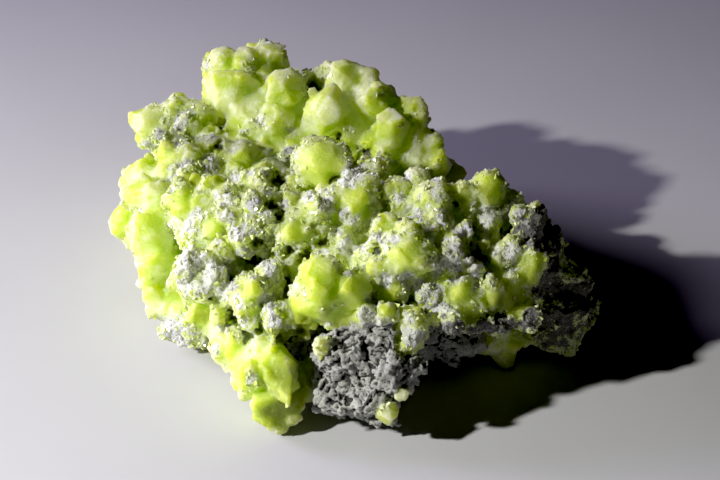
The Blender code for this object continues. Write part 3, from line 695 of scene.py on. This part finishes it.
def pit_share(places, holes):
    """1 on the axis of a hole, falling to 0 a little beyond its reach; it also masks the painted shade at the
    bottom of each hole.
    """
    shifted = ragged(places, *PIT_WALLS)
    rims = 0.7 * grain_noise(places, *PIT_RIMS)
    share = np.zeros(len(places))
    for mouth, inward, reach in holes:
        along = clamp01((shifted - mouth) @ inward / (inward @ inward))
        away = np.linalg.norm(shifted - mouth - along[:, None] * inward, axis=1)
        share = np.maximum(share, clamp01(1.6 - away / reach + rims) * along)
    return share


def replace_mesh(obj, mesh):
    old = obj.data
    obj.data = mesh
    bpy.data.meshes.remove(old)


def apply_modifiers(obj):
    """Make the modified shape the object's own mesh."""
    graph = bpy.context.evaluated_depsgraph_get()
    mesh = bpy.data.meshes.new_from_object(obj.evaluated_get(graph))
    obj.modifiers.clear()
    replace_mesh(obj, mesh)


def new_object(name, data):
    obj = bpy.data.objects.new(name, data)
    bpy.context.scene.collection.objects.link(obj)
    return obj


def merged_solid(node):
    """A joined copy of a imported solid's mesh, as a bmesh."""
    bm = bmesh.new()
    bm.from_mesh(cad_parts[node].data)
    bmesh.ops.remove_doubles(bm, verts=bm.verts, dist=0.001 * MM)
    return bm


def mesh_from(bm, name):
    mesh = bpy.data.meshes.new(name)
    bm.to_mesh(mesh)
    bm.free()
    return mesh


def cut_flat(bm, place, normal):
    """Cut off what lies in front of a plane, and close the cut with flats."""
    bmesh.ops.bisect_plane(
        bm, geom=bm.verts[:] + bm.edges[:] + bm.faces[:], plane_co=place, plane_no=normal, clear_outer=True)
    bmesh.ops.holes_fill(bm, edges=[e for e in bm.edges if e.is_boundary], sides=0)


def crystal_form(rng):
    """A blocky crystal of about unit radius: a steep double pyramid with its tips and edges cut off."""
    bm = bmesh.new()
    bmesh.ops.create_cube(bm, size=4)
    for indices, distance in CRYSTAL_FACES:
        reach = [(-1, 1) if index else (1,) for index in indices]
        for sx in reach[0]:
            for sy in reach[1]:
                for sz in reach[2]:
                    signs = (sx, sy, sz)
                    normal = Vector([s * h / a for s, h, a in zip(signs, indices, AXES_ABC)]).normalized()
                    cut_flat(bm, normal * (distance * rng.uniform(*FACE_VARIATION)), normal)
    return mesh_from(bm, "crystal form")


def sphere_directions(count):
    """Directions spread evenly over a ball."""
    golden = math.pi * (3 - math.sqrt(5))
    for step in range(count):
        height = 1 - 2 * (step + 0.5) / count
        ring = math.sqrt(1 - height * height)
        yield Vector((ring * math.cos(golden * step), ring * math.sin(golden * step), height))


def block_form(rng, flats):
    """A chunk of about unit radius, cut by flats that face every way."""
    bm = bmesh.new()
    bmesh.ops.create_cube(bm, size=4)
    for direction in sphere_directions(flats):
        normal = (direction + random_direction(rng) * 0.4).normalized()
        cut_flat(bm, normal * rng.uniform(0.75, 1.0), normal)
    return mesh_from(bm, "block form")


def grain_form(rng):
    """A rough grain of about unit radius with few faces."""
    bm = bmesh.new()
    for direction in sphere_directions(GRAIN_CORNERS):
        bm.verts.new((direction + random_direction(rng) * 0.35).normalized() * rng.uniform(0.75, 1.2))
    hull = bmesh.ops.convex_hull(bm, input=bm.verts)
    bmesh.ops.delete(bm, geom=hull["geom_interior"], context="VERTS")
    return mesh_from(bm, "grain form")


def random_direction(rng):
    return Vector([rng.gauss(0, 1) for _ in range(3)]).normalized()


def facing(normal, lean, rng):
    """A turn that points +Z near the normal and spins at random."""
    upright = (normal + random_direction(rng) * lean).to_track_quat("Z", "Y").to_matrix().to_4x4()
    return upright @ Matrix.Rotation(rng.uniform(0, math.tau), 4, "Z")


def add_copy(bm, form, places, matrix):
    """Add a copy of a form, whose own vertex places are given, under that matrix."""
    set_places(form, places)
    form.transform(matrix)
    bm.from_mesh(form)


def surface_points(mesh, count, weights, seed):
    """Random points on a triangle mesh and their normals, thicker where the vertex weights are high."""
    mesh.calc_loop_triangles()
    corners = np.zeros(len(mesh.loop_triangles) * 3, np.int32)
    mesh.loop_triangles.foreach_get("vertices", corners)
    corners = corners.reshape(-1, 3)
    places = vertex_places(mesh)
    a, b, c = (places[corners[:, k]] for k in range(3))
    cross = np.cross(b - a, c - a)
    area = np.linalg.norm(cross, axis=1)
    share = area * weights[corners].mean(axis=1)
    rng = np.random.default_rng(seed)
    chosen = rng.choice(len(corners), size=count, p=share / share.sum())
    u, v = rng.random((2, count))
    flip = u + v > 1
    u[flip], v[flip] = 1 - u[flip], 1 - v[flip]
    points = a[chosen] + u[:, None] * (b - a)[chosen] + v[:, None] * (c - a)[chosen]
    normals = cross[chosen] / np.maximum(area[chosen], 1e-20)[:, None]
    return points, normals


def strew(bm, forms, points, normals, radii, sink, stretch, lean, rng):
    """Set a copy of a random form at each point, sunk into the surface by a share of its radius."""
    own = [vertex_places(form) for form in forms]
    counts = []
    for point, normal, radius in zip(points, normals, radii):
        pick = rng.randrange(len(forms))
        normal = Vector(normal)
        centre = Vector(point) - normal * (sink * radius)
        turn = facing(normal, lean, rng)
        sizes = [radius * rng.uniform(*reach) for reach in stretch]
        add_copy(bm, forms[pick], own[pick],
                 Matrix.Translation(centre) @ turn @ Matrix.Diagonal((*sizes, 1)))
        counts.append(len(own[pick]))
    for form, places in zip(forms, own):
        set_places(form, places)
    return counts


def remesh(obj, voxel):
    """Fuse everything in the object into one skin."""
    modifier = obj.modifiers.new("Fuse", "REMESH")
    modifier.mode = "VOXEL"
    modifier.voxel_size = voxel * 1
    modifier.adaptivity = 0
    apply_modifiers(obj)


def soften(obj, times):
    modifier = obj.modifiers.new("Soften", "SMOOTH")
    modifier.factor = 0.5
    modifier.iterations = times
    apply_modifiers(obj)


def thin_to(obj, triangles):
    obj.data.calc_loop_triangles()
    now = len(obj.data.loop_triangles)
    if now > triangles:
        modifier = obj.modifiers.new("Thin", "DECIMATE")
        modifier.ratio = triangles / now
        modifier.use_collapse_triangulate = True
        apply_modifiers(obj)


def smoothed_places(mesh, rounds):
    """Where each vertex ends when it goes to the middle of its neighbours that many times."""
    edges = np.zeros(len(mesh.edges) * 2, np.int32)
    mesh.edges.foreach_get("vertices", edges)
    first, second = edges.reshape(-1, 2).T
    smooth = vertex_places(mesh)
    count = len(smooth)
    links = np.bincount(first, minlength=count) + np.bincount(second, minlength=count)
    for _ in range(rounds):
        around = np.zeros_like(smooth)
        for k in range(3):
            around[:, k] = np.bincount(first, smooth[second, k], count) + np.bincount(
                second, smooth[first, k], count)
        smooth = around / np.maximum(links, 1)[:, None]
    return smooth


def hollowness(mesh, rounds):
    """How deep each vertex lies under its smoothed surroundings, in millimetres; ridges come out negative."""
    away = smoothed_places(mesh, rounds) - vertex_places(mesh)
    return (away * vertex_normals(mesh)).sum(axis=1) / MM


def round_off(mesh, rounds):
    """Round the edges of the clean crystals, which look waxy and worn."""
    places = vertex_places(mesh)
    share = 0.8 * cleanness(places, 1.5)[:, None]
    set_places(mesh, places + share * (smoothed_places(mesh, rounds) - places))


def set_attribute(mesh, name, values):
    layer = mesh.attributes.new(name, "FLOAT", "POINT")
    layer.data.foreach_set("value", values.astype(np.float32))


def keep_in_height(mesh):
    """Flatten what would reach under the table, and lower what rises above the solid's highest lumps."""
    places = vertex_places(mesh)
    over = np.maximum(places[:, 2] - TOP_LUMPS * MM, 0.0)
    places[:, 2] = np.maximum(places[:, 2] - TOP_LOWERED * over, 0.0)
    set_places(mesh, places)


def push_out(mesh, depths):
    """Move each vertex along its normal by a depth in millimetres."""
    set_places(mesh, vertex_places(mesh) + vertex_normals(mesh) * (depths * MM)[:, None])


def roughen_sulfur(mesh):
    """Deepen the clefts, and push the skin in and out: soft waves everywhere, coarse sugar in the crust."""
    places = vertex_places(mesh)
    crust, _ = crust_fields(places)
    clefts = np.clip(hollowness(mesh, CLEFT_ROUNDS), -0.25, 0.5)
    wave = grain_noise(places, *SULFUR_WAVES)
    broad, broad_cracks = chip_noise(places, *SULFUR_CHIPS)
    small, _ = chip_noise(places, *SULFUR_SMALL_CHIPS)
    sugar = grain_noise(places, *SULFUR_SUGAR)
    large, _ = chip_noise(places, *SULFUR_LARGE_CHIPS)
    rough = clamp01(0.15 + crust)
    clear = cleanness(places, 1.3)
    rear = rear_share(places)
    even = (1 - 0.75 * clear) * (1 - 0.3 * rear)
    push_out(mesh, (0.22 + 0.25 * rear) * wave + 0.2 * large * clear
             + (0.17 * broad - 0.05 * broad_cracks + 0.1 * small * (0.4 + rough) + 0.2 * sugar * rough) * even
             - 0.12 * clefts * (1 - clear))


def cut_away(mesh, cuts):
    """What is left of a closed mesh behind each cut plane, closed with flats."""
    bm = bmesh.new()
    bm.from_mesh(mesh)
    for (place, normal), side in cuts:
        outward = Vector(normal).normalized() * side
        cut_flat(bm, (Vector(place) + outward * CUT_OVERLAP) * MM, outward)
        bmesh.ops.triangulate(bm, faces=[f for f in bm.faces if len(f.verts) > 4])
    return mesh_from(bm, "sulfur part")


def finish_piece(obj, material, nodes, smooth=True):
    """Give a piece its material, and say which body it rides on and which solid it replaces."""
    obj.data.materials.clear()
    obj.data.materials.append(material)
    for polygon in obj.data.polygons:
        polygon.use_smooth = smooth
    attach(obj, "root")
    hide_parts(*nodes)


def fill_inputs(tree, node, values):
    """Link or set inputs of a node; a colour comes without its alpha."""
    for name, value in dict(values).items():
        socket = node.inputs[name]
        if isinstance(value, bpy.types.NodeSocket):
            tree.links.new(value, socket)
        elif socket.type == "RGBA":
            socket.default_value = (*value, 1)
        else:
            socket.default_value = value


def add_node(tree, kind, values=(), **settings):
    """A shader node with its settings and input values or links."""
    made = tree.nodes.new(kind)
    for name, value in settings.items():
        setattr(made, name, value)
    fill_inputs(tree, made, values)
    return made


def new_material(name):
    material = bpy.data.materials.new(name)
    material.use_nodes = True
    tree = material.node_tree
    return material, tree, tree.nodes["Principled BSDF"]


def object_places(tree):
    return add_node(tree, "ShaderNodeTexCoord").outputs["Object"]


def noise_in(tree, places, width, detail=2.0, rough=0.5):
    """Noise whose forms are that wide in metres."""
    made = add_node(tree, "ShaderNodeTexNoise", {
        "Vector": places, "Scale": 1 / width, "Detail": detail, "Roughness": rough})
    return made.outputs["Fac"]


def maths(tree, operation, a, b, clamp=False):
    return add_node(tree, "ShaderNodeMath", {0: a, 1: b}, operation=operation, use_clamp=clamp).outputs[0]


def times(tree, a, b, clamp=False):
    return maths(tree, "MULTIPLY", a, b, clamp)


def ranged(tree, value, low, high, to_low=0.0, to_high=1.0, kind="SMOOTHSTEP"):
    return add_node(tree, "ShaderNodeMapRange", {
        "Value": value, "From Min": low, "From Max": high, "To Min": to_low, "To Max": to_high},
        interpolation_type=kind).outputs[0]


def mixed(tree, share, a, b):
    """Two colours mixed by a share."""
    return add_node(tree, "ShaderNodeMix", {0: share, 6: a, 7: b}, data_type="RGBA",
                    blend_type="MIX", clamp_factor=True).outputs[2]


def bumped(tree, height, strength, distance, **below):
    return add_node(tree, "ShaderNodeBump", {
        "Strength": strength, "Distance": distance, "Height": height, **below}).outputs[0]


def attribute(tree, name):
    return add_node(tree, "ShaderNodeAttribute", attribute_name=name).outputs["Fac"]


def sulfur_material(settings, crust_settings):
    """Cloudy, waxy yellow-green crystal under patches of pale sugar and grey-white grains. Its hollows and holes
    are darkened with painted shade, and its paleness is partly painted light.
    """
    material, tree, shader = new_material("sulfur")
    places = object_places(tree)
    grey, pit = attribute(tree, "grey"), attribute(tree, "pit")
    cloud = noise_in(tree, places, 5.5 * MM, 3.0)
    veins = noise_in(tree, places, 1.6 * MM, 4.0, 0.6)
    fine = noise_in(tree, places, 0.35 * MM, 3.0, 0.7)
    milky = ranged(tree, maths(tree, "ADD", cloud, times(tree, veins, 0.35)), 0.52, 0.86)
    # The paleness is partly the sulfur's own cloudiness and partly painted light on the lamp side and rear lobe
    milky = times(tree, milky, attribute(tree, "milk_and_painted_light"), clamp=True)
    body = mixed(tree, milky, settings.deep, settings.pale)
    # The olive is partly the crystals' own colour and partly painted shade on shaded flanks
    body = mixed(tree, attribute(tree, "olive"), body, OLIVE_AND_SHADE)
    speckle = times(tree, maths(tree, "SUBTRACT", fine, 0.5), 0.9)
    level = maths(tree, "ADD", attribute(tree, "crust"), speckle)
    sugar = ranged(tree, level, 0.1, 0.45)
    body = mixed(tree, times(tree, sugar, 0.75), body, settings.pale)
    dust_and_shade = mixed(tree, grey, crust_settings.white, crust_settings.grey)
    # Painted shade: grey above 1 darkens the crust towards near black
    dust_and_shade = mixed(tree, ranged(tree, grey, 1.0, 2.0), dust_and_shade, crust_settings.painted_shade)
    colour = mixed(tree, ranged(tree, level, 0.42, 0.72), body, dust_and_shade)
    # Painted shade: the colour darkens in the hollows between crystals, saturated in clean sulfur and grey-olive
    # in the crust
    shade = ranged(tree, attribute(tree, "hollow"), 0.05, 0.6)
    colour = mixed(tree, times(tree, shade, 0.35), colour, mixed(tree, sugar, CLEAN_HOLLOW_SHADE, SUGARY_HOLLOW_SHADE))
    # Painted shade: near black at the bottom of each dug hole, deepening with depth
    colour = mixed(tree, ranged(tree, pit, 0.1, 0.9), colour, PIT_SHADE)
    glow = ranged(tree, level, 0.1, 0.8, 1.0, 0.65)
    facets = add_node(tree, "ShaderNodeTexVoronoi", {"Vector": places, "Scale": 1 / (0.6 * MM)})
    flats = bumped(tree, facets.outputs["Distance"], 0.6, 0.14 * MM)
    sugared = times(tree, fine, ranged(tree, level, 0.0, 0.7, 0.35, 1.6))
    fill_inputs(tree, shader, {
        "Base Color": colour,
        "Roughness": ranged(tree, level, 0.0, 0.8, 0.48, 0.85, kind="LINEAR"),
        "Subsurface Weight": times(tree, glow, ranged(tree, pit, 0.15, 0.6, 1.0, 0.0)),
        "Subsurface Radius": (1.0, 1.0, 0.35),
        "Subsurface Scale": ranged(tree, level, 0.0, 0.8, 6.5 * MM, 2.2 * MM),
        "IOR": 1.6,
        "Specular IOR Level": 0.35,
        "Normal": bumped(tree, sugared, 0.6, 0.12 * MM, Normal=flats)})
    return material


def crust_material(settings, sulfur_settings):
    """Grains that run from white and faintly yellow to grey, and on into a dark painted shade."""
    material, tree, shader = new_material("crust grains")
    tone, grey = attribute(tree, "tone"), attribute(tree, "grey")
    share = maths(tree, "ADD", grey, ranged(tree, tone, 0.0, 1.0, -0.3, 0.25), clamp=True)
    dusty_and_shaded = mixed(tree, share, settings.white, settings.grey)
    # Painted shade: grey above 1 darkens the grains towards near black
    dusty_and_shaded = mixed(tree, ranged(tree, grey, 1.0, 2.0), dusty_and_shaded, settings.painted_shade)
    tinted = mixed(tree, ranged(tree, tone, 0.8, 1.0, 0.0, 0.8), dusty_and_shaded, sulfur_settings.pale)
    spots = noise_in(tree, object_places(tree), 0.3 * MM, 3.0, 0.7)
    fill_inputs(tree, shader, {
        "Base Color": mixed(tree, ranged(tree, spots, 0.35, 0.5, 0.25, 0.0), tinted, GRAIN_SPOTS),
        "Roughness": 0.75,
        "Subsurface Weight": 0.6,
        "Subsurface Radius": (1.0, 1.0, 0.8),
        "Subsurface Scale": 0.8 * MM,
        "Normal": bumped(tree, spots, 0.7, 0.08 * MM)})
    return material


def sugar_material(settings):
    """Small clear crystals, glossier than the sulfur they stand on."""
    material, tree, shader = new_material("small sulfur crystals")
    cloud = noise_in(tree, object_places(tree), 0.8 * MM, 3.0)
    body = mixed(tree, ranged(tree, attribute(tree, "tone"), 0.0, 0.6), settings.deep, settings.pale)
    fill_inputs(tree, shader, {
        "Base Color": mixed(tree, ranged(tree, cloud, 0.45, 0.75, 0.0, 0.7), body, SUGAR_CLOUD),
        "Roughness": ranged(tree, cloud, 0.35, 0.7, 0.15, 0.5),
        "Subsurface Weight": 0.6,
        "Subsurface Radius": (1.0, 1.0, 0.3),
        "Subsurface Scale": 0.7 * MM,
        "IOR": 1.8})
    return material


def rock_material(settings):
    """Dull, crumbly grey rock, with painted shade darkening its cracks and hollows."""
    material, tree, shader = new_material("grey matrix")
    places = object_places(tree)
    cloud = noise_in(tree, places, 3.0 * MM, 3.0, 0.6)
    fine = noise_in(tree, places, 0.4 * MM, 4.0, 0.7)
    dull = [0.75 * part for part in settings.light]
    stone = mixed(tree, ranged(tree, cloud, 0.38, 0.62), dull, settings.light)
    # Painted shade: the grey darkens in the rock's hollows and cracks
    stone = mixed(tree, ranged(tree, attribute(tree, "hollow"), -0.04, 0.22), stone, settings.dark)
    fill_inputs(tree, shader, {
        "Base Color": mixed(tree, ranged(tree, fine, 0.38, 0.5, 0.6, 0.0), stone, settings.dark),
        "Roughness": 0.85,
        "Normal": bumped(tree, fine, 0.8, 0.15 * MM)})
    return material


def floor_material(settings):
    """Plain pale paper with the faintest mottling."""
    material, tree, shader = new_material("floor")
    mottle = ranged(tree, noise_in(tree, object_places(tree), 40 * MM, 3.0), 0.3, 0.7)
    dull = [0.97 * part for part in settings.floor]
    fill_inputs(tree, shader, {
        "Base Color": mixed(tree, mottle, dull, settings.floor), "Roughness": 0.8, "Specular IOR Level": 0.2})
    return material


def crystal_radii(count, smallest, largest, bias, rng):
    """Random radii; the larger the bias, the more of them are small."""
    return [smallest + (largest - smallest) * rng.random() ** bias for _ in range(count)]


def add_blocks(bm, blocks, rng):
    """The larger crystals and lumps, each a faceted block."""
    for centre, half, flats in blocks.values():
        form = block_form(rng, flats)
        turn = Matrix.Rotation(rng.uniform(-0.4, 0.4), 4, random_direction(rng))
        sizes = [1.04 * size * MM for size in half]
        add_copy(bm, form, vertex_places(form), Matrix.Translation(Vector(centre) * MM) @ turn
                 @ Matrix.Diagonal((*sizes, 1)))


def sulfur_skin(settings):
    """The solid's surface grown over with crystals and fused into one skin."""
    seed, points_seed = CRYSTAL_SEEDS
    rng = random.Random(seed)
    bm = merged_solid("sulfur_crystals")
    add_blocks(bm, GROWN_BLOCKS, rng)
    bmesh.ops.triangulate(bm, faces=bm.faces)
    core = mesh_from(bm, "sulfur core")
    places = vertex_places(core)
    weights = np.maximum(1.03 - cleanness(places, 1.2) - 0.5 * rear_share(places), 0.03)
    points, normals = surface_points(core, COVER_CRYSTALS, weights, points_seed)
    radii = crystal_radii(COVER_CRYSTALS, settings.crystal_min, settings.crystal_max, CRYSTAL_BIAS, rng)
    forms = [crystal_form(rng) for _ in range(CRYSTAL_FORMS)]
    forms += [block_form(rng, CRYSTAL_FLATS) for _ in range(CRYSTAL_FORMS)]
    bm = bmesh.new()
    bm.from_mesh(core)
    strew(bm, forms, points, normals, radii, *CRYSTALS_STREWN, rng)
    skin = new_object("sulfur skin", mesh_from(bm, "sulfur skin"))
    remesh(skin, settings.voxel)
    soften(skin, SKIN_SOFTENING)
    round_off(skin.data, CLEAN_ROUNDING)
    holes = dig_pits(skin.data)
    roughen_sulfur(skin.data)
    keep_in_height(skin.data)
    return skin, holes


def sulfur_piece(skin, holes, name, cuts, triangles, material):
    """One part of the skin, with what its material reads kept in each vertex."""
    piece = new_object(name, cut_away(skin.data, cuts))
    thin_to(piece, triangles)
    places = vertex_places(piece.data)
    crust, grey = crust_fields(places)
    pits = pit_share(places, holes)
    front = zone(places, 1, 12.0, -6.0) * zone(places, 0, -36.0, 6.0)
    left = zone(places, 0, -30.0, -6.0)
    # Paler on the rear lobe and on the left side that faces the lamp, partly the sulfur's own cloudiness and
    # partly painted light; deeper on the clean front crystals
    milk_and_painted_light = 1 + 0.8 * rear_share(places) + 0.6 * left - 0.8 * front * cleanness(places, 1.3)
    set_attribute(piece.data, "crust", clamp01(crust - 1.5 * pits))
    set_attribute(piece.data, "grey", grey)
    set_attribute(piece.data, "pit", pits)
    set_attribute(piece.data, "milk_and_painted_light", milk_and_painted_light)
    # The olive share is partly painted shade
    set_attribute(piece.data, "olive", nearest_patch(ragged(places, *OLIVE_EDGES), OLIVE_AND_SHADE_PATCHES))
    set_attribute(piece.data, "hollow", hollowness(piece.data, SULFUR_HOLLOW_ROUNDS))
    finish_piece(piece, material, ["sulfur_crystals"])


class SPECIMEN_OT_sulfur(bpy.types.Operator):
    """Build the sulfur in three pieces that meet in its valley and clefts"""

    bl_idname = "specimen.sulfur"
    bl_label = "Sulfur"

    def execute(self, context):
        settings = context.scene.specimen_sulfur
        material = sulfur_material(settings, context.scene.specimen_crust)
        skin, holes = sulfur_skin(settings)
        for name, cuts, triangles in zip(SULFUR_PIECES, SULFUR_CUTS, SULFUR_TRIANGLES):
            sulfur_piece(skin, holes, name, cuts, triangles, material)
        bpy.data.objects.remove(skin)
        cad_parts["sulfur_crystals"].hide_render = True
        return {"FINISHED"}


class SPECIMEN_OT_rock(bpy.types.Operator):
    """Build the grey, crumbly rock under the sulfur"""

    bl_idname = "specimen.rock"
    bl_label = "Grey rock"

    def execute(self, context):
        settings = context.scene.specimen_rock
        seed, points_seed = ROCK_SEEDS
        rng = random.Random(seed)
        core = mesh_from(merged_solid("grey_matrix"), "rock core")
        push_out(core, np.full(len(core.vertices), ROCK_INSET))
        points, normals = surface_points(core, ROCK_BLOCKS, np.ones(len(core.vertices)), points_seed)
        radii = crystal_radii(ROCK_BLOCKS, *ROCK_RADII, rng)
        forms = [block_form(rng, ROCK_FLATS) for _ in range(ROCK_FORMS)]
        bm = bmesh.new()
        bm.from_mesh(core)
        strew(bm, forms, points, normals, radii, *BLOCKS_STREWN, rng)
        rock = new_object("grey_rock", mesh_from(bm, "grey rock"))
        remesh(rock, settings.voxel)
        places = vertex_places(rock.data)
        plates, _ = chip_noise(places, *ROCK_PLATES)
        shifted = places + 0.35 * (ragged(places, *ROCK_CHIP_EDGES) - places)
        chips, chip_cracks = chip_noise(shifted, *ROCK_CHIPS)
        flakes, _ = chip_noise(shifted, *ROCK_FLAKES)
        cracks = crack_noise(places, *ROCK_CRACKS) * clamp01(0.5 + 2 * grain_noise(places, *ROCK_CRACKED))
        push_out(rock.data, 0.35 * plates - 0.6 * cracks + 0.3 * chips - 0.2 * chip_cracks ** 2
                 + 0.2 * flakes + 0.1 * grain_noise(places, *ROCK_GRAIN))
        keep_in_height(rock.data)
        thin_to(rock, ROCK_TRIANGLES)
        set_attribute(rock.data, "hollow", hollowness(rock.data, ROCK_HOLLOW_ROUNDS))
        finish_piece(rock, rock_material(settings), ["grey_matrix"])
        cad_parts["grey_matrix"].hide_render = True
        return {"FINISHED"}


def read_attribute(mesh, name):
    values = np.zeros(len(mesh.vertices), np.float32)
    mesh.attributes[name].data.foreach_get("value", values)
    return values.astype(float)


def strewn_piece(name, weigh, count, forms, radii, style, seed):
    """Small forms strewn over the sulfur pieces and joined in one mesh, each with a tone of its own."""
    rng = random.Random(seed)
    bm = bmesh.new()
    hosts = [bpy.data.objects[host] for host in SULFUR_PIECES]
    weights = [weigh(host.data) for host in hosts]
    totals = []
    for host, weight in zip(hosts, weights):
        areas = np.zeros(len(host.data.polygons), np.float32)
        host.data.polygons.foreach_get("area", areas)
        totals.append(areas.sum() * weight.mean())
    counts = []
    for step, (host, weight, total) in enumerate(zip(hosts, weights, totals)):
        here = int(count * total / sum(totals))
        points, normals = surface_points(host.data, here, weight, seed + step)
        lengths = crystal_radii(here, *radii, rng)
        counts += strew(bm, forms, points, normals, lengths, *style, rng)
    obj = new_object(name, mesh_from(bm, name))
    places = vertex_places(obj.data)
    places[:, 2] = np.maximum(places[:, 2], 0.0)
    set_places(obj.data, places)
    tones = np.random.default_rng(seed).random(len(counts))
    set_attribute(obj.data, "tone", np.repeat(tones, counts))
    return obj


class SPECIMEN_OT_crust(bpy.types.Operator):
    """Strew white and grey grains over the crusted places"""

    bl_idname = "specimen.crust"
    bl_label = "Crust grains"

    def execute(self, context):
        settings = context.scene.specimen_crust
        forms_seed, seed = GRAIN_SEEDS
        rng = random.Random(forms_seed)
        forms = [grain_form(rng) for _ in range(GRAIN_FORMS)]
        grains = strewn_piece(
            "crust_grains", lambda mesh: clamp01(read_attribute(mesh, "crust") * 1.6 - 0.6) + 1e-6,
            CRUST_GRAINS, forms, (settings.grain_min, settings.grain_max, GRAIN_BIAS), GRAINS_STREWN, seed)
        set_attribute(grains.data, "grey", crust_fields(vertex_places(grains.data))[1])
        finish_piece(grains, crust_material(settings, context.scene.specimen_sulfur),
                     ["sulfur_crystals"])
        return {"FINISHED"}


class SPECIMEN_OT_sugar(bpy.types.Operator):
    """Strew small clear crystals over the sugary places"""

    bl_idname = "specimen.sugar"
    bl_label = "Small crystals"

    def execute(self, context):
        forms_seed, seed = SUGAR_SEEDS
        rng = random.Random(forms_seed)
        forms = [block_form(rng, SUGAR_FLATS) for _ in range(SUGAR_FORMS)]
        sugar = strewn_piece(
            "small_crystals",
            lambda mesh: clamp01(1 - abs(read_attribute(mesh, "crust") - 0.45) / 0.3) + 0.01,
            SUGAR_CRYSTALS, forms, SUGAR_RADII, SUGAR_STREWN, seed)
        finish_piece(sugar, sugar_material(context.scene.specimen_sulfur), ["sulfur_crystals"],
                     smooth=False)
        return {"FINISHED"}


# Camera and lights; the places that they look at are in millimetres
CAMERA_AIM = (1.3, -16.6, 26.0)
CAMERA_DISTANCE = 0.345
CAMERA_HEIGHT = math.radians(36)
CAMERA_LENS = 100
CAMERA_SENSOR = 36
LAMP_FROM = (0, -3.6, 15)
LAMP_AIM = (-342.0, -226.0, 0.0)
LAMP_BEAM = math.radians(58.4)
LAMP_SIZE = 0.022
LAMP_COLOUR = (1, 0.99, 0.965)
FILL_TURN = math.radians(15.8)
FILL_HEIGHT = math.radians(24.2)
FILL_DISTANCE = 0.767
FILL_SIZE = 0.262
FILL_COLOUR = (0.95, 0.84, 1.25)
FLOOR_HALF = 1.5
BLACK_LEVEL = 0.007


def left_of(turn, height):
    """A direction that far behind pure left, and that high."""
    return Vector((-math.cos(turn) * math.cos(height), math.sin(turn) * math.cos(height), math.sin(height)))


def point_at(obj, place, look):
    obj.location = place
    obj.rotation_euler = look.to_track_quat("-Z", "Y").to_euler()


def add_light(name, kind, place, aim, **settings):
    data = bpy.data.lights.new(name, kind)
    for key, value in settings.items():
        setattr(data, key, value)
    point_at(new_object(name, data), place, Vector(aim) - place)


class SPECIMEN_OT_studio(bpy.types.Operator):
    """Set the floor, the lamp, the weak light behind and the camera"""

    bl_idname = "specimen.studio"
    bl_label = "Studio"

    def execute(self, context):
        settings = context.scene.specimen_studio
        scene = context.scene
        bm = bmesh.new()
        bmesh.ops.create_grid(bm, x_segments=1, y_segments=1, size=FLOOR_HALF)
        floor = new_object("floor", mesh_from(bm, "floor"))
        floor.data.materials.append(floor_material(settings))
        turn, height = settings.lamp_turn, settings.lamp_height
        place = Vector(LAMP_FROM) * MM + left_of(-turn, height) * settings.lamp_distance
        add_light("lamp", "SPOT", place, Vector(LAMP_AIM) * MM, energy=settings.lamp_power,
                  shadow_soft_size=LAMP_SIZE, spot_size=LAMP_BEAM, spot_blend=1.0, color=LAMP_COLOUR)
        add_light("fill", "AREA", left_of(FILL_TURN, FILL_HEIGHT) * FILL_DISTANCE, (0, 0, 0),
                  energy=settings.fill_power, size=FILL_SIZE, color=FILL_COLOUR)
        world = bpy.data.worlds.new("studio")
        world.use_nodes = True
        world.node_tree.nodes["Background"].inputs["Strength"].default_value = 0.0
        scene.world = world
        lens = bpy.data.cameras.new("camera")
        lens.lens = CAMERA_LENS
        lens.sensor_width = CAMERA_SENSOR
        camera = new_object("camera", lens)
        look = Vector((0, math.cos(CAMERA_HEIGHT), -math.sin(CAMERA_HEIGHT)))
        point_at(camera, Vector(CAMERA_AIM) * MM - look * CAMERA_DISTANCE, look)
        scene.camera = camera
        scene.view_settings.view_transform = "Standard"
        scene.view_settings.use_curve_mapping = True
        scene.view_settings.curve_mapping.black_level = (BLACK_LEVEL,) * 3
        return {"FINISHED"}


class SPECIMEN_PT_panel(bpy.types.Panel):
    """The specimen's pieces and their settings"""

    bl_idname = "SPECIMEN_PT_panel"
    bl_label = "Sulfur specimen"
    bl_space_type = "VIEW_3D"
    bl_region_type = "UI"
    bl_category = "Specimen"

    def draw(self, context):
        for group in SETTINGS:
            settings = getattr(context.scene, group)
            for name in settings.__annotations__:
                self.layout.prop(settings, name)
        for operator in OPERATORS:
            self.layout.operator(operator.bl_idname)


SETTINGS = {
    "specimen_sulfur": SulfurSettings,
    "specimen_crust": CrustSettings,
    "specimen_rock": RockSettings,
    "specimen_studio": StudioSettings,
}
OPERATORS = (SPECIMEN_OT_sulfur, SPECIMEN_OT_rock, SPECIMEN_OT_crust, SPECIMEN_OT_sugar, SPECIMEN_OT_studio)
CLASSES = (*SETTINGS.values(), *OPERATORS, SPECIMEN_PT_panel)


def register():
    for item in CLASSES:
        bpy.utils.register_class(item)
    for name, group in SETTINGS.items():
        setattr(bpy.types.Scene, name, bpy.props.PointerProperty(type=group))


def unregister():
    for name in SETTINGS:
        delattr(bpy.types.Scene, name)
    for item in reversed(CLASSES):
        bpy.utils.unregister_class(item)


def main():
    register()
    bpy.ops.specimen.sulfur()
    bpy.ops.specimen.rock()
    bpy.ops.specimen.crust()
    bpy.ops.specimen.sugar()
    bpy.ops.specimen.studio()


if __name__ == "__main__":
    main()
